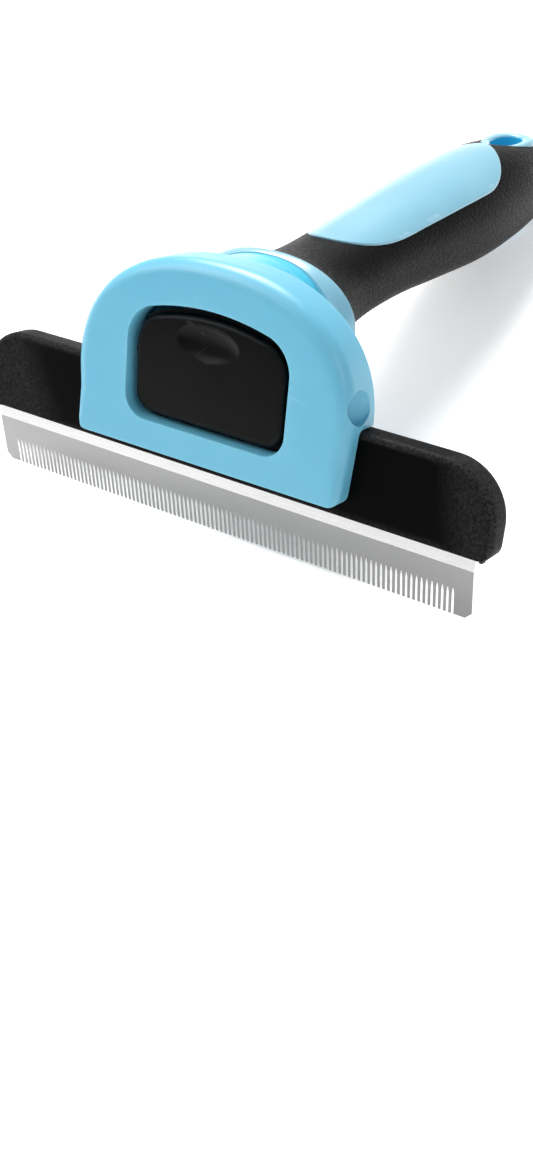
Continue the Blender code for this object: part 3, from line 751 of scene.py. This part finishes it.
# ---- Head -------------------------------------------------------------------------------------------
@dataclass
class Head:
    """The D-shaped head: bezel in front, domed housing behind, pin and screws."""

    shop: Workshop
    face_y: float = -3.8
    rim_back: float = 4.5
    half: float = 28.1
    foot_half: float = 27.4
    foot: float = 2.0
    waist: float = 14.0
    top: float = 36.3
    power: float = 2.27
    face_round: float = 2.8
    foot_round: float = 0.35
    wall: float = 2.3
    tunnel: Point = (-0.14, 14.8, 1.0)  # front, top and the round between them
    window_half: float = 16.4
    window_foot: float = 7.3
    window_top: float = 28.6
    pivot: Pair = (0.2, 18.5)
    scoop: tuple[float, float, float, float] = (-0.05, 18.4, 2.85, 3.3)  # y, z, radius and depth in front
    points: int = 300

    def outline(self, inset: float = 0.0) -> Outline:
        """The D: tapering cheeks under a broad superellipse, with rounded lower corners.

        Args:
            inset: How far inside the outer edge.

        Returns:
            The outline, in mm.
        """
        half = self.half - inset
        foot_half = self.foot_half - inset
        foot = self.foot + inset
        rise = self.top - self.waist - inset
        corner = 2.0
        right = [(0.0, foot)]
        right += arc((foot_half - corner, foot + corner), corner, -90, 0, 8)
        for i in range(61):
            angle = math.radians(1.5 * i)
            x = half * math.cos(angle) ** (2 / self.power) if i < 60 else 0.0
            right.append((x, self.waist + rise * math.sin(angle) ** (2 / self.power)))
        return mirrored(right)

    def window(self, inset: float = 0.0) -> Outline:
        """The rocker's opening: straight foot and sides, an arched top and generous corners.

        Args:
            inset: How far inside the opening's edge.

        Returns:
            The outline, in mm.
        """
        half = self.window_half - inset
        foot = self.window_foot + inset
        top = self.window_top - inset
        low_r = 4.2 - inset * 0.6
        high_r = 6.4 - inset * 0.6
        shoulder = self.window_top - 1.3 - inset
        right = [(0.0, foot)]
        right += arc((half - low_r, foot + low_r), low_r, -90, 0, 12)
        right += arc((half - high_r, shoulder - high_r), high_r, 0, 72, 14)
        x_start, z_start = right[-1]
        for i in range(1, 17):
            t = i / 16
            x = (1 - t) ** 2 * x_start + t * (1 - t) * x_start
            right.append((x, (1 - t) ** 2 * z_start + (2 * t * (1 - t) + t * t) * top))
        return mirrored(right)

    def ring(self, outline: Outline, y: float | Sequence[float]) -> Ring:
        """An outline as a ring at one depth, or at a depth for each point."""
        depths = [y] * len(outline) if isinstance(y, (int, float)) else y
        return [Vector((x, depth, z)) for (x, z), depth in zip(outline, depths)]

    def face_radius(self, outline: Outline) -> list[float]:
        """How round the front edge is at each point: crisp along the foot, soft elsewhere.

        Args:
            outline: The outer edge.

        Returns:
            One radius for each point, in mm.
        """
        radii = []
        for (_, z), (_, nz) in zip(outline, outward(outline)):
            grown = self.foot_round + 0.8 + (z - self.foot) * 0.22
            share = smooth_step(-0.97, -0.55, nz)
            radii.append(self.foot_round + (min(grown, self.face_round) - self.foot_round) * share)
        return radii

    def tunnel_tool(self) -> Thing:
        """The way for the comb carrier, rounded at its upper front corner as the carrier is.

        Returns:
            The tool for the Boolean.
        """
        front, top, rounding = self.tunnel
        corner = arc((front + rounding, top - rounding), rounding, 180, 90, 10)
        profile = [(front, -4.0), *corner, (self.rim_back + 2, top), (self.rim_back + 2, -4.0)]
        return self.shop.skin("tool_tunnel", [[Vector((x, y, z)) for y, z in profile] for x in (-40, 40)])

    def scoop_tool(self, side: int) -> Thing:
        """The half-moon scoop in a cheek: steep in front, its floor running out towards the back.

        Args:
            side: -1 for the left cheek, 1 for the right.

        Returns:
            The tool for the Boolean.
        """
        y, z, radius, depth = self.scoop
        floor, mouth = [], []
        for dy, dz in arc((0.0, 0.0), radius, 0, 352.5, 47):
            floor.append(Vector((side * (27.9 - depth * (radius - dy) / (2 * radius)), y + dy, z + dz)))
            mouth.append(Vector((side * 32, y + dy, z + dz)))
        return self.shop.skin("tool_scoop", [floor, mouth])

    def bezel(self) -> None:
        """The front cover: rim, rounded face, window with leaning walls, cheeks that hold the pin."""
        outer = resample(self.outline(), self.points)
        inner = resample(self.outline(self.wall), self.points)
        radii = self.face_radius(outer)
        rings = [self.ring(inner, -0.3), self.ring(inner, self.rim_back)]
        for inset, step in ((0.35, 0.0), (0.17, 0.05), (0.05, 0.17), (0.0, 0.35)):
            rings.append(self.ring(inset_points(outer, inset), self.rim_back - step))
        for share in (0.25, 0.5, 0.75):
            depth = [self.rim_back - 0.35 + (self.face_y + r - self.rim_back + 0.35) * share for r in radii]
            rings.append(self.ring(outer, depth))
        for i in range(9):
            angle = math.radians(90 * i / 8)
            edge = inset_points(outer, [r * (1 - math.cos(angle)) for r in radii])
            rings.append(self.ring(edge, [self.face_y + r * (1 - math.sin(angle)) for r in radii]))
        edge = inset_points(outer, radii)
        window = resample(self.window(-0.15), self.points)
        for share in (0.08, 0.5, 0.92):
            between = [(a + (c - a) * share, b + (d - b) * share) for (a, b), (c, d) in zip(edge, window)]
            rings.append(self.ring(between, self.face_y))
        for inset, deeper in (
            (-0.05, 0.04), (0.0, 0.15), (0.0, 1.2), (0.04, 2.4), (0.06, -0.3 - self.face_y)
        ):
            rings.append(self.ring(resample(self.window(inset), self.points), self.face_y + deeper))
        cover = self.shop.skin("head_bezel", rings, looped=True)
        y, z = self.pivot
        cheeks = []
        for side in (-1, 1):
            low, high = sorted((side * 18.5, side * 26.6))
            cheeks.append(self.shop.block((low, -1.0, self.tunnel[1] - 1), (high, self.rim_back - 0.1, 21.8)))
        self.shop.shape(cover, "UNION", *cheeks)
        tools = [self.tunnel_tool()]
        for side in (-1, 1):
            tools.append(self.scoop_tool(side))
            tools.append(self.shop.bar((side * 14, y, z), (side * 25, y, z), 1.4, 24))
        self.shop.shape(cover, "DIFFERENCE", *tools)
        self.shop.hand_over(cover, Body.HEAD, Slot.SKY, self.shop.finishes.sky, "front_cover")

    def build(self) -> None:
        """Makes the head's pieces."""
        self.bezel()
        housing = self.shop.refined("rear_housing", "head_rear_housing")
        finishes = self.shop.finishes
        # the rear housing takes the neck finish: sky ABS with painted shade
        self.shop.hand_over(housing, Body.HEAD, Slot.SKY, finishes.neck, "rear_housing", sharp=40)
        for node in ("button_pivot_pin", "head_screw_1", "head_screw_2", "neck_screw_1", "neck_screw_2"):
            self.shop.dress(node, finishes.plated)


# ---- Rocker -----------------------------------------------------------------------------------------
@dataclass
class Rocker:
    """The black rocker in the window, with its thumb dimple, spring and latch."""

    shop: Workshop
    head: Head
    gap: float = 1.3
    drop: float = 0.3  # how much lower than the window's middle it sits
    face: float = -3.3
    skirt: Point = (2.1, 2.5, 0.75)  # front, back and width of the flange in the gap
    tilt: float = 1.5
    edge: float = 0.85
    dimple: tuple[float, float, float, float, float] = (-0.3, 22.9, 6.2, 3.0, 0.9)
    points: int = 200

    def dip(self, x: float, z: float) -> float:
        """Depth of the rocker's face below a plane: the thumb dimple and a slight crown.

        Args:
            x: Place across the face, in mm.
            z: Place up the face.

        Returns:
            The depth, in mm.
        """
        centre_x, centre_z, half_width, half_height, depth = self.dimple
        across = (x - centre_x) / half_width
        above = (z - centre_z) / half_height
        inside = max(0.0, 1 - across * across - above * above)
        crown = 0.18 * ((x / 15) ** 2 + ((z - 18) / 10) ** 2)
        return depth * inside**0.7 + crown

    def build(self) -> None:
        """Makes the rocker and dresses what lies behind it."""
        outline = [(x, z - self.drop) for x, z in resample(self.head.window(self.gap), self.points)]
        front, back, wide = self.skirt
        rings = []
        for inset, y in (
            (-wide, back), (-wide, front + 0.1), (-wide + 0.1, front), (-0.15, front), (0.0, front - 0.15)
        ):
            rings.append(self.head.ring(inset_points(outline, inset), y))
        for i in range(8):
            angle = math.radians(90 * i / 7)
            inset = self.edge * (1 - math.cos(angle))
            ring = inset_points(outline, inset)
            crown = [self.dip(x, z) * math.sin(angle) for x, z in ring]
            rings.append(self.head.ring(ring, [self.edge * (1 - math.sin(angle)) + c for c in crown]))
        rim = inset_points(outline, self.edge)
        centre_x, centre_z = self.dimple[:2]
        for i in range(1, 40):
            scale = 1 - i / 40
            ring = [(centre_x + (x - centre_x) * scale, centre_z + (z - centre_z) * scale) for x, z in rim]
            rings.append(self.head.ring(ring, [self.dip(x, z) for x, z in ring]))
        top = self.head.window_top - self.gap
        lean = Matrix.Rotation(math.radians(self.tilt), 4, "X")
        place = Matrix.Translation((0, self.face, top)) @ lean @ Matrix.Translation((0, 0, -top))
        plate = self.shop.skin("release_rocker", [[place @ point for point in ring] for ring in rings])
        y, z = self.head.pivot
        ears = []
        for side in (-1, 1):
            low, high = sorted((side * 9.6, side * 12.0))
            ears.append(self.shop.bar((low, y, z), (high, y, z), 2.4))
            ears.append(self.shop.block((low, -2.4, z - 2.0), (high, y, z + 2.0)))
        self.shop.shape(plate, "UNION", *ears)
        self.shop.shape(plate, "DIFFERENCE", self.shop.bar((-14, y, z), (14, y, z), 1.4, 24))
        finishes = self.shop.finishes
        self.shop.hand_over(plate, Body.BUTTON, Slot.BLACK, finishes.rocker, "release_button")
        self.shop.dress("button_return_spring", finishes.plated)
        self.shop.dress("latch_leaf", finishes.plated)


# ---- Comb -------------------------------------------------------------------------------------------
@dataclass
class Comb:
    """The click-in comb: carrier, blade, clamp bar and screws."""

    shop: Workshop
    head: Head
    half: float = 53.2
    foot: float = -0.3
    height: float = 14.6
    depth: float = 5.2
    front_round: float = 0.9
    back_round: float = 1.5
    blade_half: float = 50.4
    slots: int = 100
    pitch: float = 0.9475
    slot_width: float = 0.42
    slot_top: float = -7.0
    strip_foot: float = -2.8
    blade_top: float = 6.9
    tip: float = -11.9
    land: float = 1.2
    tongue: tuple[Point, Point] = ((-7, 2.4, 12.6), (7, 4.6, 19.5))
    catch: tuple[Point, Point] = ((-4.2, -1.0, 8.1), (4.2, 1.7, 10.5))
    pocket_play: float = 0.3  # room beside the blade in its pocket
    slot_taper: float = 1.1
    slot_tip_half: float = 0.07
    points: int = 420

    def outline(self) -> Outline:
        """The carrier's long face: round shoulders above, tighter corners below.

        Returns:
            The outline, in mm.
        """
        right = [(0.0, self.foot)]
        right += arc((self.half - 2.0, self.foot + 2.0), 2.0, -90, 0, 8)
        right += arc((self.half - 9.6, self.height - 9.6), 9.6, 0, 90, 24)
        right.append((0.0, self.height))
        return mirrored(right)

    def carrier(self) -> None:
        """The carrier: crisp along its foot, rounded elsewhere, pocketed behind for the blade."""
        outline = resample(self.outline(), self.points)
        radii = []
        for _, nz in outward(outline):
            radii.append(0.12 + (self.front_round - 0.12) * smooth_step(-0.97, -0.5, nz))
        rings = []
        turns = [math.radians(15 * i) for i in range(7)]
        for angle in turns:
            edge = inset_points(outline, [r * (1 - math.sin(angle)) for r in radii])
            rings.append(self.head.ring(edge, [r * (1 - math.cos(angle)) for r in radii]))
        for angle in turns:
            edge = inset_points(outline, self.back_round * (1 - math.cos(angle)))
            rings.append(self.head.ring(edge, self.depth - self.back_round * (1 - math.sin(angle))))
        body = self.shop.skin("comb_carrier", rings)
        shop = self.shop
        pocket = self.blade_half + self.pocket_play
        shop.shape(body, "UNION", shop.block(*self.tongue))
        for side in (-1, 1):
            low, high = sorted((side * (pocket + 0.1), side * (pocket + 0.7)))
            shop.shape(body, "UNION", shop.block((low, 1.6, -1.2), (high, 2.8, 1.0)))
        shop.shape(body, "DIFFERENCE", shop.block((-pocket, 1.0, -2.0), (pocket, self.depth + 1, 7.3)))
        shop.shape(body, "DIFFERENCE", shop.block(*self.catch))
        shop.hand_over(body, Body.COMB, Slot.BLACK, shop.finishes.black, "carrier_body")

    def surface(self, z: float) -> Pair:
        """Depth of the blade's front and back at a height."""
        share = min(max((self.strip_foot - z) / (self.strip_foot - self.tip), 0.0), 1.0)
        return 1.3 + 2.1 * share, 3.1 + 0.85 * share

    def blade(self) -> None:
        """The steel comb: flat strip, long bevel and a hundred slots whose ends taper."""
        half = self.blade_half
        edge = [(-half, self.strip_foot), (-half, self.tip + self.land), (-half + self.land, self.tip)]
        for i in range(self.slots):
            x = (i - (self.slots - 1) / 2) * self.pitch
            wide = self.slot_width / 2
            slot = (
                (wide, self.tip), (wide, self.slot_top - self.slot_taper), (self.slot_tip_half, self.slot_top)
            )
            edge += [(x - across, z) for across, z in slot] + [(x + across, z) for across, z in slot[::-1]]
        edge += [(half - self.land, self.tip), (half, self.tip + self.land), (half, self.strip_foot)]
        bm = bmesh.new()
        front = [bm.verts.new((x, self.surface(z)[0], z)) for x, z in edge]
        back = [bm.verts.new((x, self.surface(z)[1], z)) for x, z in edge]
        crown = [
            bm.verts.new((x, y, self.blade_top)) for x,
            y in ((-half, 1.3), (half, 1.3), (half, 3.1), (-half, 3.1))
        ]
        # material 0 is the brushed strip, 1 the ground bevel, 2 the sawn edges
        faces = [
            (front, 1), (back[::-1], 1), ((front[0], front[-1], crown[1], crown[0]), 0),
            ((back[-1], back[0], crown[3], crown[2]), 0), (crown, 0),
            ((front[0], crown[0], crown[3], back[0]), 0), ((front[-1], back[-1], crown[2], crown[1]), 0)
        ]
        faces += [((front[i], back[i], back[i + 1], front[i + 1]), 2) for i in range(len(edge) - 1)]
        for corners_of_face, index in faces:
            bm.faces.new(corners_of_face).material_index = index
        piece = self.shop.from_bmesh("comb_blade_ground", bm, sharp=3)
        finishes = self.shop.finishes
        for finish in (finishes.strip, finishes.bevel, finishes.sawn):
            piece.data.materials.append(finishes.get(finish))
        self.shop.hand_over(piece, Body.COMB, Slot.STEEL, finishes.strip, "comb_blade", sharp=3)

    def build(self) -> None:
        """Makes the comb's pieces."""
        self.carrier()
        self.blade()
        self.shop.dress("blade_clamp_bar", self.shop.finishes.black)
        for number in range(1, 5):
            self.shop.dress(f"clamp_screw_{number}", self.shop.finishes.plated)


# ---- Handle -----------------------------------------------------------------------------------------
@dataclass
class Handle:
    """The handle: pale core with its collar, rubber grip, inlay and hanging eyelet."""

    shop: Workshop
    collar_front: float = 11.9
    collar_scoop: float = 2.3  # how much further back its front edge stands over the top
    start: float = 15.7
    end: float = 118.0
    end_round: float = 9.0
    # distance back, height of the axis, half width, half height
    stations: tuple[tuple[float, float, float, float], ...] = (
        (3.0, 23.4, 15.6, 10.2), (10.0, 24.7, 16.0, 10.1), (15.0, 25.7, 16.0, 9.9), (20.0, 26.6, 12.9, 8.4),
        (26.0, 27.7, 11.1, 7.7), (34.0, 29.4, 10.6, 7.5), (46.0, 31.7, 10.9, 8.0), (60.0, 33.9, 12.0, 9.0),
        (75.0, 36.2, 12.9, 9.9), (90.0, 38.9, 12.3, 9.9), (102.0, 40.8, 10.9, 8.7), (112.0, 42.0, 9.6, 7.3),
        (122.0, 43.0, 8.4, 6.2)
    )
    panel_start: float = 31.8
    panel_end: float = 91.7
    panel_angle: float = 53.0
    panel_proud: float = 0.3
    eyelet_y: float = 99.8
    eyelet_hole: Pair = (2.9, 4.5)
    eyelet_shift: float = 0.9  # how far the hole sits behind the rim's middle
    eyelet_rim: Pair = (5.4, 8.0)
    eyelet_sink: float = 0.35
    # how far from the collar's front edge to the grip, half width, half height
    collar_rows: tuple[Point, ...] = (
        (-0.06, 12.4, 9.0), (0.0, 14.6, 10.35), (0.04, 14.75, 10.5), (0.3, 15.3, 10.66), (0.6, 15.9, 10.7),
        (0.85, 16.35, 10.7), (0.93, 16.45, 10.66), (0.98, 16.35, 10.56), (1.0, 16.1, 10.3)
    )
    # distance back, half width and half height of the neck's last part
    throat_rows: tuple[Point, ...] = (
        (9.0, 12.0, 9.6), (10.0, 12.4, 10.6), (11.5, 12.7, 10.75), (13.0, 13.3, 10.6), (14.6, 14.0, 10.2)
    )
    spigot: Pair = (7.1, 5.1)  # half width and half height of the core inside neck and grip
    spigot_front: float = 9.4  # clear of the rocker's spring when it swings back

    def station(self, distance: float) -> list[float]:
        """Height, half width and half height at a distance back, smoothed between stations.

        Args:
            distance: Distance back, in mm.

        Returns:
            The three sizes, in mm.
        """
        rows = self.stations
        index = max(i for i in range(len(rows) - 1) if distance >= rows[i][0] or i == 0)
        low, high = rows[index], rows[index + 1]
        before, after = rows[max(index - 1, 0)], rows[min(index + 2, len(rows) - 1)]
        span = high[0] - low[0]
        t = (distance - low[0]) / span
        values = []
        for k in (1, 2, 3):
            slope_low = (high[k] - before[k]) / (high[0] - before[0]) * span
            slope_high = (after[k] - low[k]) / (after[0] - low[0]) * span
            ends = (2 * t**3 - 3 * t**2 + 1) * low[k] + (3 * t**2 - 2 * t**3) * high[k]
            values.append(ends + (t**3 - 2 * t**2 + t) * slope_low + (t**3 - t**2) * slope_high)
        return values

    def axes(self, distance: float) -> tuple[Vector, Vector]:
        """Centre of the handle's section and the section's own upward direction.

        Args:
            distance: Distance back, in mm.

        Returns:
            The centre and the direction.
        """
        height = self.station(distance)[0]
        rise = self.station(distance + 0.5)[0] - self.station(distance - 0.5)[0]
        return Vector((0.0, distance, height)), Vector((0.0, -rise, 1.0)).normalized()

    def point(self, distance: float, angle: float, half_width: float, half_height: float) -> Vector:
        """A point on an oval section; the angle is measured from the section's top, in radians.

        Args:
            distance: Distance back, in mm.
            angle: Angle from the top.
            half_width: Half width of the oval.
            half_height: Half height of the oval.

        Returns:
            The point.
        """
        centre, up = self.axes(distance)
        power = 2 / 2.15
        sine, cosine = math.sin(angle), math.cos(angle)
        across = math.copysign(abs(sine) ** power, sine) * half_width
        above = math.copysign(abs(cosine) ** power, cosine) * half_height
        return centre + Vector((across, 0.0, 0.0)) + up * above

    def section(self, distance: float, half_width: float, half_height: float, segments: int = 112) -> Ring:
        """One oval ring of the handle."""
        turns = [2 * math.pi * i / segments for i in range(segments)]
        return [self.point(distance, a, half_width, half_height) for a in turns]

    def size(self, distance: float, offset: float = 0.0) -> Pair:
        """Half width and half height of the grip, closing in an ellipse at the handle's end.

        Args:
            distance: Distance back, in mm.
            offset: How much larger than the grip.

        Returns:
            Half width and half height, in mm.
        """
        _, width, height = self.station(distance)
        over = max(0.0, distance - (self.end - self.end_round)) / self.end_round
        shrink = math.sqrt(max(1 - over * over, 0.0))
        return width * shrink + offset, height * shrink + offset

    def collar_ring(self, share: float, half_width: float, half_height: float, segments: int = 112) -> Ring:
        """One ring of the collar, part of the way from its scooped front edge to the grip.

        Args:
            share: 0 at the front edge, 1 at the grip.
            half_width: Half width of the ring, in mm.
            half_height: Half height of the ring.
            segments: Points in the ring.

        Returns:
            The ring.
        """
        ring = []
        for i in range(segments):
            angle = 2 * math.pi * i / segments
            front = self.collar_front + self.collar_scoop * max(math.cos(angle), 0.0) ** 1.6
            distance = front + (self.start - front) * share
            ring.append(self.point(distance, angle, half_width, half_height))
        return ring

    def core(self) -> None:
        """The core: spigot in the neck, flared collar with a rolled edge, and the bar inside the grip."""
        inner = self.spigot
        rings = [self.section(self.spigot_front, *inner), self.section(10.5, *inner)]
        rings += [self.collar_ring(*row) for row in self.collar_rows]
        for i in range(9):
            rings.append(self.section(self.start + 0.02 + i * 9.0, *inner))
        core = self.shop.skin("handle_core_collar", rings)
        self.shop.hand_over(core, Body.HEAD, Slot.PALE, self.shop.finishes.pale, "handle_core")

    def throat(self) -> None:
        """The neck's last part, which fills the scoop in the collar."""
        throat = self.shop.skin("neck_throat", [self.section(*row) for row in self.throat_rows])
        # the neck finish is sky ABS with painted shade
        self.shop.hand_over(throat, Body.HEAD, Slot.SKY, self.shop.finishes.neck)

    def grip(self) -> None:
        """The rubber grip, with a rolled lip at the collar and a seat for the eyelet."""
        rings = []
        first = self.start + 0.1
        for back, under in ((0.0, 0.5), (0.05, 0.3), (0.2, 0.1), (0.5, 0.0)):
            rings.append(self.section(first + back, *self.size(first + back, -under)))
        last = self.end - self.end_round
        for i in range(1, 121):
            distance = first + 0.5 + (last - first - 0.5) * i / 120
            rings.append(self.section(distance, *self.size(distance)))
        for i in range(1, 19):
            distance = last + self.end_round * math.sin(math.radians(4.9 * i))
            rings.append(self.section(distance, *self.size(distance)))
        grip = self.shop.skin("grip_rubber_sleeve", rings)
        seat = self.shop.skin("tool_seat", self.eyelet_tube(-0.12, 16.0))
        self.shop.shape(grip, "DIFFERENCE", seat)
        self.shop.hand_over(grip, Body.HEAD, Slot.RUBBER, self.shop.finishes.rubber, "grip_sleeve")

    def panel_reach(self, distance: float) -> float:
        """How far the inlay reaches round the handle, in radians: an egg, blunt towards the head.

        Args:
            distance: Distance back, in mm.

        Returns:
            The angle to each side.
        """
        nose = min((distance - self.panel_start) / 16.0, 1.0)
        tail = min((self.panel_end - distance) / 18.0, 1.0)
        ease = (1 - (1 - nose) ** 2.3) ** 0.5 * math.sin(tail * math.pi / 2) ** 0.88
        return math.radians(self.panel_angle) * max(ease, 0.012)

    def inlay(self) -> None:
        """The pale inlay: a little proud of the rubber, with a rolled edge that catches the light."""
        rows, columns, roll = 150, 64, 0.6
        bm = bmesh.new()
        grids: list[list[list[bmesh.types.BMVert]]] = [[], []]
        for i in range(rows + 1):
            share = 0.5 - 0.5 * math.cos(math.pi * i / rows)
            distance = self.panel_start + (self.panel_end - self.panel_start) * share
            reach = self.panel_reach(distance)
            upper, lower = [], []
            for j in range(columns + 1):
                across = math.sin(math.pi / 2 * (2 * j / columns - 1))
                edge = min((1 - abs(across)) * reach * 11.8, roll) / roll
                height = self.panel_proud - roll * (1 - math.sqrt(edge * (2 - edge)))
                upper.append(bm.verts.new(self.point(distance, across * reach, *self.size(distance, height))))
                lower.append(bm.verts.new(self.point(distance, across * reach, *self.size(distance, -1.2))))
            grids[0].append(upper)
            grids[1].append(lower)
        top, bottom = grids[0], grids[1]
        for i in range(rows):
            for j in range(columns):
                bm.faces.new((top[i][j], top[i + 1][j], top[i + 1][j + 1], top[i][j + 1]))
                bm.faces.new((bottom[i][j + 1], bottom[i + 1][j + 1], bottom[i + 1][j], bottom[i][j]))
            for j in (0, columns):
                bm.faces.new((top[i][j], bottom[i][j], bottom[i + 1][j], top[i + 1][j]))
        for i in (0, rows):
            for j in range(columns):
                bm.faces.new((top[i][j], top[i][j + 1], bottom[i][j + 1], bottom[i][j]))
        panel = self.shop.from_bmesh("grip_inlay", bm)
        self.shop.hand_over(panel, Body.HEAD, Slot.PALE, self.shop.finishes.pale, "inlay_panel")

    def oval(self, size: Pair, drawn: float = 0.0, count: int = 140) -> Outline:
        """An oval round the eyelet's middle, drawn to a softer point towards the head.

        Args:
            size: Half width and half length, in mm.
            drawn: How strongly it is drawn out.
            count: Number of points.

        Returns:
            The outline.
        """
        power = 2 / 2.2
        outline = []
        for i in range(count):
            angle = 2 * math.pi * i / count
            sine, cosine = math.sin(angle), math.cos(angle)
            along = math.copysign(abs(sine) ** power, sine) * size[1]
            across = math.copysign(abs(cosine) ** power, cosine) * size[0]
            outline.append((across * (1 + drawn * (along / size[1] - 0.2)), along))
        return resample(outline, count)

    def eyelet_ring(self, outline: Outline, height: float) -> Ring:
        """An outline across the eyelet, at a height above the handle's axis.

        Args:
            outline: Points round the eyelet's middle, in mm.
            height: Height above the axis.

        Returns:
            The ring.
        """
        centre, up = self.axes(self.eyelet_y)
        along = Vector((0.0, up.z, -up.y))
        return [centre + Vector((x, 0, 0)) + along * t + up * height for x, t in outline]

    def eyelet_tube(self, margin: float, half_height: float) -> list[Ring]:
        """The eyelet's outer wall, grown by a margin, as two rings."""
        outline = inset_points(self.oval(self.eyelet_rim, 0.25), -margin)
        return [self.eyelet_ring(outline, -half_height), self.eyelet_ring(outline, half_height)]

    def eyelet(self) -> None:
        """The oval rim of the hanging hole, rolled on both faces, with a deep blue bore."""
        outer = self.oval(self.eyelet_rim, 0.25)
        inner = [(x, along + self.eyelet_shift) for x, along in self.oval(self.eyelet_hole)]
        half = self.size(self.eyelet_y)[1] - self.eyelet_sink
        rings = []
        for sign in (-1, 1):
            steps = range(7) if sign > 0 else range(6, -1, -1)
            rolled_out = []
            rolled_in = []
            for i in steps:
                angle = math.radians(15 * i)
                fall = 1 - math.sin(angle)
                pull = 1 - math.cos(angle)
                rolled_out.append(
                    self.eyelet_ring(inset_points(outer, 0.9 * pull), sign * (half - 0.9 * fall))
                )
                rolled_in.append(
                    self.eyelet_ring(inset_points(inner, -0.7 * pull), sign * (half - 0.7 * fall))
                )
            if sign < 0:
                rings_low = (rolled_in[::-1], rolled_out)
            else:
                rings = [*rings_low[0], *rings_low[1], *rolled_out, *rolled_in[::-1]]
        ring = self.shop.skin("hanging_eyelet", rings, looped=True)
        finishes = self.shop.finishes
        ring.data.materials.append(finishes.get(finishes.pale))
        ring.data.materials.append(finishes.get(finishes.bore))
        centre = self.shop.frame.matrix @ self.axes(self.eyelet_y)[0]
        up = (self.shop.frame.matrix.to_3x3() @ self.axes(self.eyelet_y)[1]).normalized()
        for face in ring.data.polygons:
            offset = face.center - centre
            offset -= up * offset.dot(up)
            if abs(face.normal.dot(up)) < 0.4 and face.normal.dot(offset) < 0:
                face.material_index = 1
        self.shop.hand_over(ring, Body.HEAD, Slot.PALE, finishes.pale, "hang_eyelet")

    def build(self) -> None:
        """Makes the handle's pieces."""
        self.core()
        self.throat()
        self.grip()
        self.inlay()
        self.eyelet()


# ---- Studio -----------------------------------------------------------------------------------------
@dataclass(frozen=True)
class Softbox:
    """A square studio light that looks at the tool."""

    name: str
    azimuth: float
    elevation: float
    distance: float
    side: float
    watts: float
    colour: str = "#FFFFFF"

    def place(self, target: Vector) -> None:
        """Hangs the light.

        Args:
            target: The point that it looks at.
        """
        lamp = bpy.data.lights.new(self.name, "AREA")
        lamp.shape = "SQUARE"
        lamp.size = self.side
        lamp.energy = self.watts
        lamp.color = linear(self.colour)[:3]
        obj = bpy.data.objects.new(self.name, lamp)
        a, e = math.radians(self.azimuth), math.radians(self.elevation)
        away = Vector((math.sin(a) * math.cos(e), -math.cos(a) * math.cos(e), math.sin(e)))
        obj.location = target + away * self.distance
        obj.rotation_mode = "QUATERNION"
        obj.rotation_quaternion = (-away).to_track_quat("-Z", "Y")
        bpy.context.scene.collection.objects.link(obj)


@dataclass
class Studio:
    """Opal table, even white surround and soft lights."""

    finishes: Finishes
    surround: float = 0.42
    boxes: tuple[Softbox, ...] = (
        Softbox("key_softbox", 215, 50, 0.9, 0.4, 10.0), Softbox("left_softbox", -60, 48, 0.9, 0.6, 4.2),
        Softbox("right_softbox", 75, 35, 0.9, 0.3, 0.9)
    )

    def build(self) -> None:
        """Sets up floor, surround and lights."""
        bm = bmesh.new()
        bmesh.ops.create_grid(bm, x_segments=8, y_segments=8, size=3.0)
        mesh = bpy.data.meshes.new("studio_floor")
        bm.to_mesh(mesh)
        bm.free()
        mesh.materials.append(self.finishes.get(OpalTable("opal_acrylic_table", "#F4F4F4", 0.9)))
        floor = bpy.data.objects.new("studio_floor", mesh)
        floor.location.z = -0.0004
        bpy.context.scene.collection.objects.link(floor)
        world = bpy.data.worlds.new("studio_surround")
        world.use_nodes = True
        sky = world.node_tree.nodes["Background"]
        sky.inputs["Color"].default_value = linear("#FAFCFF")
        sky.inputs["Strength"].default_value = self.surround
        bpy.context.scene.world = world
        for box in self.boxes:
            box.place(Vector((0, 0, 0.02)))


@dataclass
class Viewpoint:
    """The camera: where it stands in the head's frame and how it is turned."""

    frame: HeadFrame
    stand: Point = (129.59, -184.70, 84.65)
    right: Point = (0.8216, 0.5636, 0.0855)
    down: Point = (0.3016, -0.3025, -0.9042)
    forward: Point = (-0.4837, 0.7687, -0.4185)
    focal: float = 28.99  # on a 24 mm long side

    def build(self) -> None:
        """Makes the camera and hands it to the scene."""
        data = bpy.data.cameras.new("studio_camera")
        data.sensor_fit = "AUTO"
        data.sensor_width = 24.0
        data.lens = self.focal
        data.clip_start = 0.01
        camera = bpy.data.objects.new("studio_camera", data)
        bpy.context.scene.collection.objects.link(camera)
        head = self.frame.matrix @ Matrix.Scale(1 / MM, 4)
        turn = Matrix((Vector(self.right), -Vector(self.down), -Vector(self.forward))).transposed().to_4x4()
        camera.matrix_world = head @ Matrix.Translation(Vector(self.stand) * MM) @ turn
        bpy.context.scene.camera = camera


def main() -> None:
    """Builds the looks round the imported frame."""
    logging.basicConfig(level=logging.INFO, format="%(name)s: %(message)s")
    for obj in list(bpy.data.objects):
        bpy.data.objects.remove(obj, do_unlink=True)
    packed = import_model()
    frame = HeadFrame.from_joints(packed["joints"], Head.pivot)
    finishes = Finishes()
    shop = Workshop(frame, finishes, packed["nodes"])
    Viewpoint(frame).build()
    Studio(finishes).build()
    head = Head(shop)
    head.build()
    Rocker(shop, head).build()
    Comb(shop, head).build()
    Handle(shop).build()
    view = bpy.context.scene.view_settings
    view.view_transform = "Standard"


if __name__ == "__main__":
    main()
